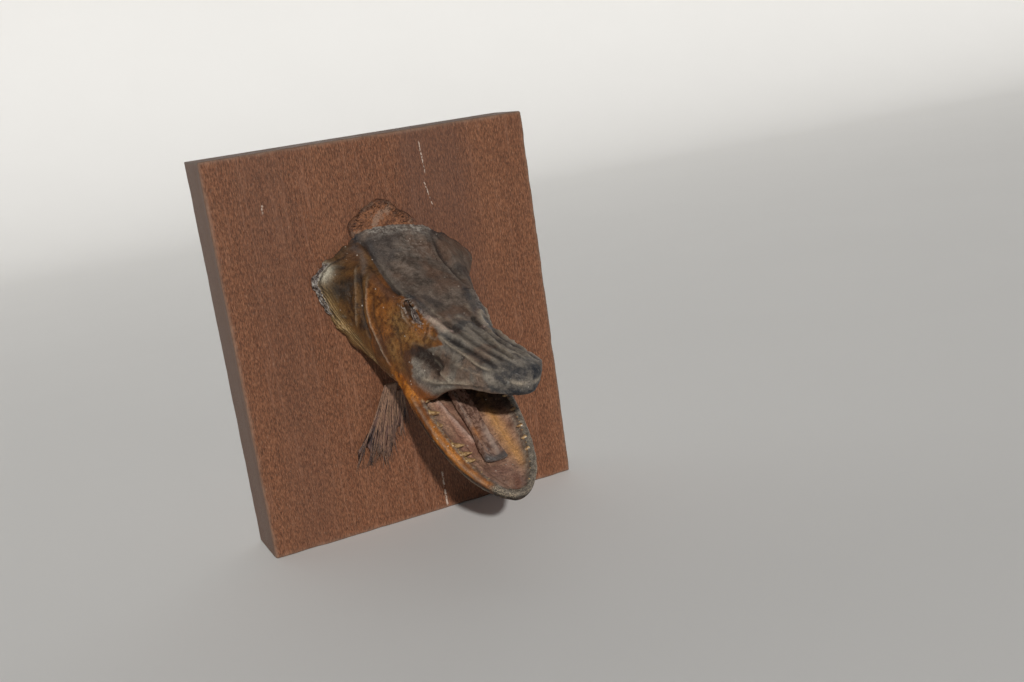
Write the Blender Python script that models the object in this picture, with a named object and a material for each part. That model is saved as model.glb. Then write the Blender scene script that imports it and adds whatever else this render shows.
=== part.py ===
"""Dried pike head with its mouth open, gill covers spread and a fin left on, on a plain wooden board.

Metres, +Z up. The back of the board is the plane y = 0 and the head points to -Y. The head is made whole in a
frame of its own, and then parted into the pieces that a person would name.
"""

import math

import bmesh
import bpy
import numpy as np
from mathutils import Matrix, Vector

MM = 0.001
GAP = 0.0003  # clearance between neighbours

# Board: a short length of plank
BOARD_WIDTH = 0.260
BOARD_HEIGHT = 0.307
BOARD_THICKNESS = 0.051
BOARD_EDGE = 0.0012
FACE_Y = -BOARD_THICKNESS

# The head's frame: forward from the board's face, right and up, turned a little and rolled a little
HEAD_X = -0.0032
HEAD_YAW = math.radians(2.5)
HEAD_ROLL = math.radians(6.0)
BACK_TWIST = math.radians(3.0)  # the back of the head sits straighter on the board than the snout
TWIST_END = 0.170
TWIST_HEIGHT = 0.040

# Upper head, from the board to the tip of the snout. Each row is one cross-section:
# distance, ridge of the roof at the middle, then (half width, height) of the roof's edge, the shoulder,
# the widest place, the flank and the lower edge, and last the height of the underside at the middle, all in mm
HEAD_SECTIONS = (
    (-6, 89, (29, 84), (49, 72), (70, 52), (57.5, 23), (38, -6), -36),
    (2, 86.2, (27, 81), (46, 71.5), (67.2, 51), (55, 23), (37, -6), -35),
    (15, 79, (27, 73), (41, 69), (60, 49), (51, 20), (35, -9), -34),
    (35, 65.5, (27, 58), (35, 62), (48, 44), (45.5, 13), (34, -14), -31),
    (62, 50, (27, 45), (34, 43), (41, 26), (42, 2), (34, -20), -28),
    (90, 36.5, (25, 37), (30, 27), (36, 8), (37.5, -8), (33, -23), -26),
    (106, 29, (22, 27.5), (26, 19), (33, 3), (35.5, -11), (32, -28), -25),
    (120, 24, (19.5, 20.5), (23.5, 13.5), (30, 0), (33.5, -14), (30, -28), -23),
    (142, 18.5, (18.5, 13.5), (21.5, 8), (26, 0), (29.5, -10), (27, -18), -18),
    (170, 13, (18, 9.5), (21, 5), (23.5, 0), (24, -6), (21, -13), -13),
    (192, 10, (17.5, 7), (19.5, 3), (20, -1), (18.5, -7), (14, -13), -14.5),
    (204, 7.5, (14, 5.5), (15.5, 2), (15, -1), (12.5, -6.5), (8, -12), -14),
    (211.5, 4.5, (8, 3.5), (9, 1), (8.8, -1.5), (7.5, -5.5), (5, -10), -11.2),
    (215, 1, (2.5, 0.5), (3, -0.5), (3, -2), (2.8, -4.5), (2.4, -6.5), -6.8),
)
LEFT_DROP = 0.0100  # the left gill cover's shoulder has sunk this far at the board
LEFT_FLATTEN = 0.0025  # and its widest place has moved in this far
DROP_END = 0.060
RING_STEPS = 2  # points to each span of a cross-section
HEAD_STATIONS = 18

# Mouth cavity between the jaws
CAVITY_CENTRE = (0.150, 0.0, -0.034)
CAVITY_RADII = (0.074, 0.0245, 0.026)

# Lower jaw: a trough. Its own frame starts at the tip of its rim and runs back to the joint
JAW_TIP = (0.1963, 0.0, -0.0812)
JAW_SLOPE = math.radians(33.7)
JAW_LENGTH = 0.126
JAW_WIDTH = 0.0355
JAW_NOSE = 0.100  # length over which the rim rounds to the tip
JAW_DEPTH_TIP = 0.0070
JAW_DEPTH_BASE = 0.021
JAW_DEPTH_SPREAD = 0.038  # how soon the depth grows behind the tip
JAW_PROFILE = ((0.86, 0.0), (1.0, 0.10), (1.03, 0.42), (0.90, 0.78), (0.42, 0.97))  # shares of half width, depth
JAW_WALL = 0.0048
TROUGH_DEPTH = 0.0105
TROUGH_RUN = 0.045  # length over which the trough reaches its depth
RIM_CLEARANCE = 0.0009  # between the lower jaw's rim and the head that rests on its back end
TEETH_PER_SIDE = 7
TOOTH_HEIGHT = 0.0078
TOOTH_RADIUS = 0.0016
TOOTH_LEAN = math.radians(34)  # the canines lean into the mouth
FIRST_TOOTH = 0.026
TOOTH_PITCH = 0.0105
TOOTH_ROOT = 0.0014  # depth of each canine's root in the jaw
SMALL_TOOTH = 0.75  # every other canine is this share of the full height

# Tongue: a flat strip along the floor of the trough, square at its end
TONGUE_START = 0.036
TONGUE_END = 0.112
TONGUE_HALF_WIDTH = 0.0068
TONGUE_HEIGHT = 0.0050
TONGUE_LIFT = 0.0024  # between the trough's floor and the tongue's underside

# Eyes, sunken
EYE_AT = (0.0975, 0.0208, 0.0265)
EYE_RADIUS = 0.0072
SOCKET_CLEARANCE = 0.0006

# What is left of the pectoral fin lies on the board below the head, in two lobes. Each is a fan of rays:
# (x, z) of its root, then its heading from straight down, spread, length, half width at the root, how far its
# root and its tips stand off the board
FIN_LOBES = {
    "pectoral_fin": ((-0.0165, -0.0360), math.radians(-23), math.radians(19), 0.066, 0.0035, 0.0100, 0.0022),
    "pectoral_fin_inner": ((-0.0118, -0.0440), math.radians(-8), math.radians(9), 0.038, 0.0038, 0.0065, 0.0015),
}
FIN_RAYS = 8
FIN_STATIONS = 7
FIN_THICKNESS = 0.0010
FIN_FRAY = 0.10  # how unevenly the rays end, and how much shorter the outer ones are
FIN_CROWN = 0.0012

# Dried tissue above the nape
TISSUE_CENTRE = (-0.0030, 0.0800)
TISSUE_RADII = (0.0262, 0.0232)
TISSUE_PROFILE = ((1.0, 0.0), (0.98, 0.0012), (0.84, 0.0026), (0.55, 0.0043), (0.2, 0.0048))  # share, height
TISSUE_POINTS = 28

# Where the head is parted, in the side view (distance, height) or across it
CORE_HALF_WIDTH = 0.0272
FAR = 0.2  # well outside the head
PREOPERCLE = ((0.030, 0.090), (0.036, 0.070), (0.046, 0.048), (0.052, 0.024), (0.053, 0.004),
              (0.050, -0.012), (0.044, -0.024), (0.034, -0.050))
MEMBRANE = ((-0.020, 0.026), (0.000, 0.014), (0.020, 0.000), (0.060, -0.014))
SNOUT_START = 0.122
THROAT_TOP = -0.003


def head_matrix():
    forward = Vector((math.sin(HEAD_YAW), -math.cos(HEAD_YAW), 0.0))
    level = Vector((math.cos(HEAD_YAW), math.sin(HEAD_YAW), 0.0))
    up = Vector((0.0, 0.0, 1.0))
    right = level * math.cos(HEAD_ROLL) - up * math.sin(HEAD_ROLL)
    top = up * math.cos(HEAD_ROLL) + level * math.sin(HEAD_ROLL)
    frame = Matrix((forward, right, top)).transposed().to_4x4()
    frame.translation = (HEAD_X, FACE_Y, 0.0)
    return frame


def jaw_matrix():
    back = Vector((-math.cos(JAW_SLOPE), 0.0, math.sin(JAW_SLOPE)))
    right = Vector((0.0, 1.0, 0.0))
    out = Vector((math.sin(JAW_SLOPE), 0.0, math.cos(JAW_SLOPE)))
    frame = Matrix((back, right, out)).transposed().to_4x4()
    frame.translation = JAW_TIP
    return HEAD @ frame


HEAD = head_matrix()
JAW = jaw_matrix()


def clear_scene():
    for old in list(bpy.data.objects):
        bpy.data.objects.remove(old, do_unlink=True)


def material(name, colour, roughness):
    made = bpy.data.materials.new(name)
    made.use_nodes = True
    shader = made.node_tree.nodes["Principled BSDF"]
    shader.inputs["Base Color"].default_value = (*colour, 1.0)
    shader.inputs["Roughness"].default_value = roughness
    shader.inputs["Metallic"].default_value = 0.0
    return made


def to_object(name, shape, matrix=None):
    """An object from a bmesh, with its faces turned out."""
    if matrix is not None:
        bmesh.ops.transform(shape, matrix=matrix, verts=shape.verts)
    bmesh.ops.recalc_face_normals(shape, faces=shape.faces)
    mesh = bpy.data.meshes.new(name)
    shape.to_mesh(mesh)
    shape.free()
    made = bpy.data.objects.new(name, mesh)
    bpy.context.collection.objects.link(made)
    return made


def finish(piece, look):
    """Gives a piece its material and smooth shading with sharp edges kept."""
    piece.data.materials.clear()
    piece.data.materials.append(look)
    piece.data.shade_smooth()
    piece.data.set_sharp_from_angle(angle=math.radians(40))
    return piece


def loft(rings):
    """A closed solid through rings of equally many points, with a flat cap at each end."""
    shape = bmesh.new()
    rows = [[shape.verts.new(point) for point in ring] for ring in rings]
    count = len(rows[0])
    for near, far in zip(rows, rows[1:]):
        for i in range(count):
            j = (i + 1) % count
            shape.faces.new((near[i], near[j], far[j], far[i]))
    shape.faces.new(rows[0])
    shape.faces.new(rows[-1])
    return shape


def prism(outline, low, high):
    """A solid between two heights of the second axis over an outline in the plane of the first and third."""
    return loft([[(u, y, w) for u, w in outline] for y in (low, high)])


def triangulate(piece):
    """Bent quads would upset a Boolean, so both sides of it get flat faces."""
    shape = bmesh.new()
    shape.from_mesh(piece.data)
    bmesh.ops.triangulate(shape, faces=shape.faces[:])
    shape.to_mesh(piece.data)
    shape.free()


def combine(target, cutter, operation):
    """Applies one Boolean to the target's mesh and removes the cutter."""
    triangulate(target)
    triangulate(cutter)
    step = target.modifiers.new(operation.lower(), "BOOLEAN")
    step.operation = operation
    step.solver = "EXACT"
    step.object = cutter
    result = bpy.data.meshes.new_from_object(target.evaluated_get(bpy.context.evaluated_depsgraph_get()))
    target.modifiers.clear()
    old = target.data
    target.data = result
    result.name = target.name
    bpy.data.meshes.remove(old)
    bpy.data.objects.remove(cutter, do_unlink=True)
    return target


def copy_of(source, name):
    made = bpy.data.objects.new(name, source.data.copy())
    bpy.context.collection.objects.link(made)
    return made


def curve_through(points, per_span, closed):
    """Points along a Catmull-Rom curve through the given ones."""
    points = np.asarray(points, float)
    count = len(points)
    spans = count if closed else count - 1
    found = []
    for i in range(spans):
        if closed:
            a, b, c, d = (points[(i + k) % count] for k in (-1, 0, 1, 2))
        else:
            b, c = points[i], points[i + 1]
            a = points[i - 1] if i else 2 * b - c
            d = points[i + 2] if i + 2 < count else 2 * c - b
        for k in range(per_span):
            t = k / per_span
            found.append(
                0.5 * (2 * b + (c - a) * t + (2 * a - 5 * b + 4 * c - d) * t**2 + (3 * b - a - 3 * c + d) * t**3)
            )
    if not closed:
        found.append(points[-1])
    return np.array(found)


def flat_row(row):
    """One cross-section as a flat list of numbers."""
    return [number for item in row for number in (item if isinstance(item, tuple) else (item,))]


def head_section(distance, grow=0.0):
    """The upper head's cross-section at a distance, as (distance, across, height) points."""
    table = np.array([flat_row(row) for row in HEAD_SECTIONS]) * MM
    where = table[:, 0]
    i = int(np.clip(np.searchsorted(where, distance) - 1, 0, len(where) - 2))
    step = where[i + 1] - where[i]
    t = (distance - where[i]) / step

    def slope(k):
        low, high = max(k - 1, 0), min(k + 1, len(where) - 1)
        return (table[high] - table[low]) / (where[high] - where[low])

    row = (
        (2 * t**3 - 3 * t**2 + 1) * table[i]
        + (t**3 - 2 * t**2 + t) * step * slope(i)
        + (3 * t**2 - 2 * t**3) * table[i + 1]
        + (t**3 - t**2) * step * slope(i + 1)
    )
    side = [(row[k], row[k + 1]) for k in range(2, 12, 2)]
    other = [(-across, height) for across, height in side[::-1]]
    fade = 1 - min(max(distance, 0.0), DROP_END) / DROP_END
    other[2] = (other[2][0] + LEFT_FLATTEN * fade, other[2][1])
    other[3] = (other[3][0], other[3][1] - LEFT_DROP * fade)
    outline = [(0.0, row[1])] + side + [(0.0, row[12])] + other
    ring = curve_through(outline, RING_STEPS, closed=True)
    if grow:
        middle = np.array([0.0, (row[1] + row[12]) / 2])
        reach = ring - middle
        ring = ring + reach / np.linalg.norm(reach, axis=1)[:, None] * grow
    turn = BACK_TWIST * (1 - min(max(distance, 0.0), TWIST_END) / TWIST_END)
    across, height = ring[:, 0], ring[:, 1] - TWIST_HEIGHT
    turned = (
        across * math.cos(turn) - height * math.sin(turn),
        across * math.sin(turn) + height * math.cos(turn) + TWIST_HEIGHT,
    )
    return [(distance, across, height) for across, height in zip(*turned)]


def head_solid(name, grow=0.0):
    """The whole upper head, flat at the back where it meets the board."""
    first, last = HEAD_SECTIONS[0][0] * MM, HEAD_SECTIONS[-1][0] * MM
    spread = np.linspace(0.0, 1.0, HEAD_STATIONS)
    distances = first + (last - first) * (0.35 * spread + 0.65 * (1 - np.cos(math.pi * spread)) / 2)
    shape = loft([head_section(distance, grow) for distance in distances])
    bmesh.ops.transform(shape, matrix=HEAD, verts=shape.verts)
    return cut_at_board(to_object(name, shape))


def cut_at_board(piece):
    """Trims what lies behind the front of the board."""
    shape = bmesh.new()
    shape.from_mesh(piece.data)
    all_of_it = shape.verts[:] + shape.edges[:] + shape.faces[:]
    bmesh.ops.bisect_plane(
        shape, geom=all_of_it, plane_co=(0, FACE_Y - GAP, 0), plane_no=(0, 1, 0), clear_outer=True
    )
    bmesh.ops.holes_fill(shape, edges=[edge for edge in shape.edges if edge.is_boundary])
    bmesh.ops.recalc_face_normals(shape, faces=shape.faces)
    shape.to_mesh(piece.data)
    shape.free()
    return piece


def ball(name, centre, radii, matrix, segments=24, rings=12):
    shape = bmesh.new()
    bmesh.ops.create_uvsphere(shape, u_segments=segments, v_segments=rings, radius=1.0)
    place = matrix @ Matrix.Translation(centre) @ Matrix.Diagonal((*radii, 1.0))
    return to_object(name, shape, place)


def jaw_half_width(along):
    """Half the width of the lower jaw's rim at a distance back from its tip."""
    return JAW_WIDTH * math.sqrt(1 - (1 - min(along / JAW_NOSE, 1.0)) ** 2)


def jaw_depth(along):
    return JAW_DEPTH_TIP + (JAW_DEPTH_BASE - JAW_DEPTH_TIP) * (1 - math.exp(-along / JAW_DEPTH_SPREAD))


def jaw_section(along):
    """The lower jaw's outer cross-section, without its trough, as (along, across, out) points."""
    half, depth = jaw_half_width(along), jaw_depth(along)
    side = [(half * across, -depth * down) for across, down in JAW_PROFILE]
    outline = [(0.0, 0.0)] + side + [(0.0, -depth)] + [(-across, height) for across, height in side[::-1]]
    return [(along, across, height) for across, height in curve_through(outline, 2, closed=True)]


def trough_depth(along):
    return TROUGH_DEPTH * math.sqrt(min(max(along - JAW_WALL, 0.0) / TROUGH_RUN, 1.0))


def trough_section(along):
    """The cutter that hollows the lower jaw: a round floor, and straight up past the rim."""
    half = max(jaw_half_width(along) - JAW_WALL, GAP)
    depth = trough_depth(along) + GAP
    angles = [math.pi * k / 8 for k in range(9)]
    floor = [(along, half * math.cos(a), -depth * math.sin(a) ** 0.6) for a in angles]
    return [(along, half, JAW_WALL), *floor, (along, -half, JAW_WALL)]


def jaw_stations(start, end, count):
    """Distances back from the tip, closer together at the tip."""
    return [start + (end - start) * (k / (count - 1)) ** 1.7 for k in range(count)]


def make_jaw(look):
    shape = loft([jaw_section(along) for along in jaw_stations(0.0006, JAW_LENGTH, 13)])
    jaw = to_object("lower_jaw", shape, JAW)
    trough = loft([trough_section(along) for along in jaw_stations(JAW_WALL + 0.0006, JAW_LENGTH + 0.004, 11)])
    combine(jaw, to_object("trough", trough, JAW), "DIFFERENCE")
    combine(jaw, teeth(), "UNION")
    return finish(jaw, look)


def teeth():
    """The canines along both sides of the lower jaw, leaning into the mouth."""
    shape = bmesh.new()
    for side in (-1, 1):
        for k in range(TEETH_PER_SIDE):
            along = FIRST_TOOTH + TOOTH_PITCH * k
            across = side * (jaw_half_width(along) - JAW_WALL)
            height = TOOTH_HEIGHT * (1.0 if k % 2 else SMALL_TOOTH)
            lean = Matrix.Rotation(side * TOOTH_LEAN, 4, "X")
            place = JAW @ Matrix.Translation((along, across, height / 2 - TOOTH_ROOT)) @ lean
            bmesh.ops.create_cone(
                shape, cap_ends=True, segments=6, radius1=TOOTH_RADIUS, radius2=TOOTH_RADIUS * 0.2,
                depth=height, matrix=place,
            )
    return to_object("teeth", shape)


def make_tongue(look):
    def section(along, share):
        half = TONGUE_HALF_WIDTH * (0.80 + 0.20 * (1 - share))
        floor = TONGUE_LIFT - trough_depth(along)
        top = floor + TONGUE_HEIGHT * (0.55 + 0.45 * share)
        side = [(half, floor + 0.0006), (half * 0.92, top - 0.0006), (half * 0.45, top)]
        outline = [(0.0, floor)] + side + [(-across, height) for across, height in side[::-1]]
        return [(along, across, height) for across, height in outline]

    steps = 8
    rings = []
    for k in range(steps):
        share = k / (steps - 1)
        rings.append(section(TONGUE_START + (TONGUE_END - TONGUE_START) * share, share))
    return finish(to_object("tongue", loft(rings), JAW), look)


def part_head(looks):
    """Parts the upper head into its named pieces."""
    whole = head_solid("whole")
    combine(whole, ball("cavity", CAVITY_CENTRE, CAVITY_RADII, HEAD, 28, 14), "DIFFERENCE")
    jaw_end = JAW_LENGTH + GAP
    below_rim = [(-FAR, RIM_CLEARANCE), (jaw_end, RIM_CLEARANCE), (jaw_end, -FAR), (-FAR, -FAR)]
    combine(whole, to_object("below_rim", prism(below_rim, -FAR, FAR), JAW), "DIFFERENCE")
    for side in (-1, 1):
        centre = (EYE_AT[0], side * EYE_AT[1], EYE_AT[2])
        combine(whole, ball("socket", centre, (EYE_RADIUS + SOCKET_CLEARANCE,) * 3, HEAD, 16, 8), "DIFFERENCE")

    front = [tuple(point) for point in curve_through(PREOPERCLE, 2, closed=False)]
    ahead = [(u + GAP, w) for u, w in front]
    end = SNOUT_START - GAP
    upper = [(-FAR, FAR), (end, FAR), (end, THROAT_TOP), (-FAR, THROAT_TOP)]
    lower = [(-FAR, THROAT_TOP - GAP), (end, THROAT_TOP - GAP), (end, -FAR), (-FAR, -FAR)]
    snout = [(SNOUT_START, FAR), (2 * FAR, FAR), (2 * FAR, -FAR), (SNOUT_START, -FAR)]
    cheek = [*ahead, (ahead[-1][0], -FAR), (end, -FAR), (end, FAR), (ahead[0][0], FAR)]
    cover = [*front, (-FAR, front[-1][1]), (-FAR, front[0][1])]
    flap = [*MEMBRANE, (MEMBRANE[-1][0], -FAR), (MEMBRANE[0][0], -FAR)]
    inner = CORE_HALF_WIDTH - GAP

    def piece(name, outline, low, high, look):
        made = copy_of(whole, name)
        combine(made, to_object("region", prism(outline, low, high), HEAD), "INTERSECT")
        return finish(made, look)

    piece("cranium", upper, -inner, inner, looks["roof"])
    piece("throat", lower, -inner, inner, looks["flesh"])
    piece("upper_jaw", snout, -FAR, FAR, looks["roof"])
    for word, sign in (("left", -1), ("right", 1)):
        low, high = sorted((sign * CORE_HALF_WIDTH, sign * FAR))
        piece(f"cheek_{word}", cheek, low, high, looks["cheek"])
        gill = piece(f"gill_cover_{word}", cover, low, high, looks["cover"])
        flaps = copy_of(gill, f"gill_membrane_{word}")
        combine(flaps, to_object("region", prism(flap, -FAR, FAR), HEAD), "INTERSECT")
        finish(flaps, looks["membrane"])
        shifted = [(u, w + GAP) for u, w in flap]
        combine(gill, to_object("region", prism(shifted, -FAR, FAR), HEAD), "DIFFERENCE")
        finish(gill, looks["cover"])
    bpy.data.objects.remove(whole, do_unlink=True)


def make_eyes(look):
    for word, sign in (("left", -1), ("right", 1)):
        centre = (EYE_AT[0], sign * EYE_AT[1], EYE_AT[2])
        finish(ball(f"eye_{word}", centre, (EYE_RADIUS,) * 3, HEAD, 16, 8), look)


def make_board(look):
    shape = bmesh.new()
    size = Matrix.Diagonal((BOARD_WIDTH, BOARD_THICKNESS, BOARD_HEIGHT, 1.0))
    bmesh.ops.create_cube(shape, size=1.0, matrix=Matrix.Translation((0, FACE_Y / 2, 0)) @ size)
    bmesh.ops.bevel(shape, geom=shape.edges[:], offset=BOARD_EDGE, segments=2, affect="EDGES", profile=0.5)
    return finish(to_object("board", shape), look)


def make_fin(name, look, root, heading, spread, length, root_half, root_stand, tip_stand):
    """A thin fan of rays from a narrow root, frayed at its tips, curving back onto the board."""
    columns = np.linspace(-1.0, 1.0, FIN_RAYS)
    frays = [1 - FIN_FRAY * (0.5 + 0.5 * math.sin(4.1 * k + 1.0) + column**2) for k, column in enumerate(columns)]

    def row(share):
        front, back = [], []
        stand = tip_stand + (root_stand - tip_stand) * (1 - share) ** 1.6
        for column, fray in zip(columns, frays):
            angle = heading + column * spread / 2
            reach = length * share * fray
            x = root[0] + column * root_half + math.sin(angle) * reach
            z = root[1] - math.cos(angle) * reach
            y = FACE_Y - GAP - stand - FIN_CROWN * (1 - column**2) * share
            front.append((x, y - FIN_THICKNESS / 2, z))
            back.append((x, y + FIN_THICKNESS / 2, z))
        return front + back[::-1]

    fin = to_object(name, loft([row(share) for share in np.linspace(0.0, 1.0, FIN_STATIONS)]))
    combine(fin, head_solid("clearance", GAP), "DIFFERENCE")
    return finish(fin, look)


def make_tissue(look):
    """A ragged low mound on the board, cut back where the head stands in it."""
    def ring(share, stand):
        points = []
        for k in range(TISSUE_POINTS):
            angle = 2 * math.pi * k / TISSUE_POINTS
            ragged = 1 + 0.05 * math.sin(5 * angle + 0.6) + 0.035 * math.sin(11 * angle)
            x = TISSUE_CENTRE[0] + TISSUE_RADII[0] * share * ragged * math.cos(angle)
            z = TISSUE_CENTRE[1] + TISSUE_RADII[1] * share * ragged * math.sin(angle)
            points.append((x, FACE_Y - GAP - stand, z))
        return points

    tissue = to_object("nape_tissue", loft([ring(*place) for place in TISSUE_PROFILE]))
    combine(tissue, head_solid("clearance", GAP), "DIFFERENCE")
    return finish(tissue, look)


def main():
    clear_scene()
    looks = {
        "wood": material("wood", (0.13, 0.052, 0.030), 0.6),
        "roof": material("roof", (0.075, 0.062, 0.055), 0.6),
        "cheek": material("cheek", (0.22, 0.095, 0.035), 0.5),
        "cover": material("cover", (0.17, 0.10, 0.04), 0.4),
        "membrane": material("membrane", (0.30, 0.17, 0.06), 0.4),
        "flesh": material("flesh", (0.14, 0.075, 0.05), 0.55),
        "jaw": material("jaw", (0.17, 0.10, 0.06), 0.45),
        "tongue": material("tongue", (0.20, 0.14, 0.12), 0.4),
        "eye": material("eye", (0.06, 0.05, 0.045), 0.3),
        "fin": material("fin", (0.08, 0.05, 0.045), 0.6),
        "tissue": material("tissue", (0.20, 0.08, 0.03), 0.7),
    }
    make_board(looks["wood"])
    part_head(looks)
    make_jaw(looks["jaw"])
    make_tongue(looks["tongue"])
    make_eyes(looks["eye"])
    for name, lobe in FIN_LOBES.items():
        make_fin(name, looks["fin"], *lobe)
    make_tissue(looks["tissue"])


main()
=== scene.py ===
"""The looks of a dried pike head on a wooden board: one skin over the head, eyes, teeth, tongue, fin and board."""

import math

import bmesh
import bpy
import numpy as np
from mathutils import Matrix, Vector


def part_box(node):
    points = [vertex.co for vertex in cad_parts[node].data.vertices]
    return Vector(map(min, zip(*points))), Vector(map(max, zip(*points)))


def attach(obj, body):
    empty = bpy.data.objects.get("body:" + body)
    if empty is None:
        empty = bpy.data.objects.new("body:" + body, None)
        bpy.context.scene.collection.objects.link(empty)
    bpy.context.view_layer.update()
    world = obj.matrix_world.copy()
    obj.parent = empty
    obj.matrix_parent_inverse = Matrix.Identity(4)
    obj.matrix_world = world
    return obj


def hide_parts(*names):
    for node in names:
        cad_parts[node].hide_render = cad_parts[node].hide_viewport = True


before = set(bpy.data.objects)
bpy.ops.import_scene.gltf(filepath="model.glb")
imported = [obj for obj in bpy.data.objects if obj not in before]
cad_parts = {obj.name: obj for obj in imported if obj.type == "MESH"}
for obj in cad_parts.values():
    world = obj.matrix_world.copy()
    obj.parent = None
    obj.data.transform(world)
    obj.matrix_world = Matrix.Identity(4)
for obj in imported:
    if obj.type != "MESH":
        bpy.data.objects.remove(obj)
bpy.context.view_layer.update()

MM = 0.001
GAP = 0.0003

# ---------------------------------------------------------------- measures shared with the CAD
board_low, board_high = (np.array(corner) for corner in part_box("board"))
FACE_Y = board_low[1]
HEAD_X = -0.0032
HEAD_YAW = math.radians(2.5)
HEAD_ROLL = math.radians(6.0)
BACK_TWIST = math.radians(3.0)
TWIST_END = 170.0
TWIST_HEIGHT = 40.0

# Upper head, in mm: distance, ridge of the roof, (half width, height) of the roof's edge, the shoulder, the widest
# place, the flank and the lower edge, and the height of the underside at the middle
HEAD_SECTIONS = (
    (-6, 89, (29, 84), (49, 72), (70, 52), (57.5, 23), (38, -6), -36),
    (2, 86.2, (27, 81), (46, 71.5), (67.2, 51), (55, 23), (37, -6), -35),
    (15, 79, (27, 73), (41, 69), (60, 49), (51, 20), (35, -9), -34),
    (35, 65.5, (27, 58), (35, 62), (48, 44), (45.5, 13), (34, -14), -31),
    (62, 50, (27, 45), (34, 43), (41, 26), (42, 2), (34, -20), -28),
    (90, 36.5, (25, 37), (30, 27), (36, 8), (37.5, -8), (33, -23), -26),
    (106, 29, (22, 27.5), (26, 19), (33, 3), (35.5, -11), (32, -28), -25),
    (120, 24, (19.5, 20.5), (23.5, 13.5), (30, 0), (33.5, -14), (30, -28), -23),
    (142, 18.5, (18.5, 13.5), (21.5, 8), (26, 0), (29.5, -10), (27, -18), -18),
    (170, 13, (18, 9.5), (21, 5), (23.5, 0), (24, -6), (21, -13), -13),
    (192, 10, (17.5, 7), (19.5, 3), (20, -1), (18.5, -7), (14, -13), -14.5),
    (204, 7.5, (14, 5.5), (15.5, 2), (15, -1), (12.5, -6.5), (8, -12), -14),
    (211.5, 4.5, (8, 3.5), (9, 1), (8.8, -1.5), (7.5, -5.5), (5, -10), -11.2),
    (215, 1, (2.5, 0.5), (3, -0.5), (3, -2), (2.8, -4.5), (2.4, -6.5), -6.8),
)
# The left side at the back hangs lower and is flatter, fading out by DROP_END
LEFT_DROP = 10.0
LEFT_FLATTEN = 2.5
DROP_END = 60.0
CAVITY_CENTRE = (150.0, 0.0, -34.0)
CAVITY_RADII = (74.0, 24.5, 26.0)

# Lower jaw, in mm: its tip in the head's frame, its slope, and its width and depth along it
JAW_TIP = (196.3, 0.0, -81.2)
JAW_SLOPE = math.radians(33.7)
JAW_LENGTH = 126.0
JAW_WIDTH = 35.5
JAW_NOSE = 100.0
JAW_DEPTH_TIP = 7.0
JAW_DEPTH_BASE = 21.0
JAW_DEPTH_SPREAD = 38.0
JAW_PROFILE = ((0.86, 0.0), (1.0, 0.10), (1.03, 0.42), (0.90, 0.78), (0.42, 0.97))
JAW_WALL = 4.8
TROUGH_DEPTH = 10.5
TROUGH_RUN = 45.0

EYE_AT = (97.5, 20.8, 26.5)
EYE_RADIUS = 7.2

SLIT_AT = (95.5, 25.8, 29.6)  # the eye has shrunk, and shows only through a slanting slit
SLIT_TURN = math.radians(-34)
SLIT_RADII = (13.4, 6.0, 2.5)

# The skin's mesh, in mm: its cell, the cells in a coarse block, the distance given to blocks away from the skin,
# and the box that holds it
STEP = 0.72
BLOCK = 5
FAR = 9.0
SKIN_LOW, SKIN_HIGH = (-2.0, -74.0, -96.0), (218.0, 74.0, 96.0)

# The snout's sections close in a rounded end from here, over this length
SNOUT_CLOSE = 211.5
SNOUT_END = 3.7

# The crust above the nape, in metres: its middle and half size
CRUST_X, CRUST_Z = -0.0030, 0.0800
CRUST_HALF_X, CRUST_HALF_Z = 0.0262, 0.0232

# Canines of the lower jaw: how far along, and length. Then for each side: its sign, its canines and their radius.
LEFT_CANINES = ((95, 5.5), (83, 7.5), (71, 4.0), (51, 8.4), (42.5, 8.6), (36.5, 7.4))
RIGHT_CANINES = ((88, 4.0), (74, 3.6), (58, 4.2), (47, 3.8), (37, 3.2))
CANINES = ((-1, LEFT_CANINES, 1.9), (1, RIGHT_CANINES, 1.3))
CANINE_STRETCH = 1.12
SMALL_TEETH = 15

# What is left of the fin: name, node, root (x, z), heading and spread in degrees, length, half width at the root,
# how far the root and the tips stand from the board, rays and seed
FINS = (
    ("fin_left", "pectoral_fin", (-0.0185, -0.0360), -17, 18, 0.067, 0.0042, 0.0100, 0.0022, 17, 31),
    ("fin_inner", "pectoral_fin_inner", (-0.0118, -0.0440), -8, 12, 0.040, 0.0042, 0.0065, 0.0015, 9, 37),
)
RAY_RADIUS = 0.00062
MEMBRANE = 0.00035

# The camera, fitted to the board's corners: it looks from the left and above, and is rolled a little
CAMERA_AT = (-0.2844, -0.8986, 0.1856)
CAMERA_RIGHT = (0.89076, -0.43259, -0.13932)
CAMERA_FORWARD = (0.39673, 0.88969, -0.22596)
LENS = 40.6
SENSOR = 36.0


# ---------------------------------------------------------------- frames of reference, in mm
def axes_of_head():
    forward = np.array([math.sin(HEAD_YAW), -math.cos(HEAD_YAW), 0.0])
    level = np.array([math.cos(HEAD_YAW), math.sin(HEAD_YAW), 0.0])
    up = np.array([0.0, 0.0, 1.0])
    right = level * math.cos(HEAD_ROLL) - up * math.sin(HEAD_ROLL)
    top = up * math.cos(HEAD_ROLL) + level * math.sin(HEAD_ROLL)
    return np.array([forward, right, top])


HEAD_AXES = axes_of_head()
HEAD_ORIGIN = np.array([HEAD_X, FACE_Y, 0.0])
JAW_AXES = np.array([
    [-math.cos(JAW_SLOPE), 0.0, math.sin(JAW_SLOPE)], [0.0, 1.0, 0.0], [math.sin(JAW_SLOPE), 0.0, math.cos(JAW_SLOPE)]
])


def to_row(points):
    """Head coordinates in mm to the row frame in metres."""
    return HEAD_ORIGIN + np.asarray(points) * MM @ HEAD_AXES


def to_jaw(points):
    return (points - np.array(JAW_TIP)) @ JAW_AXES.T


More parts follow.
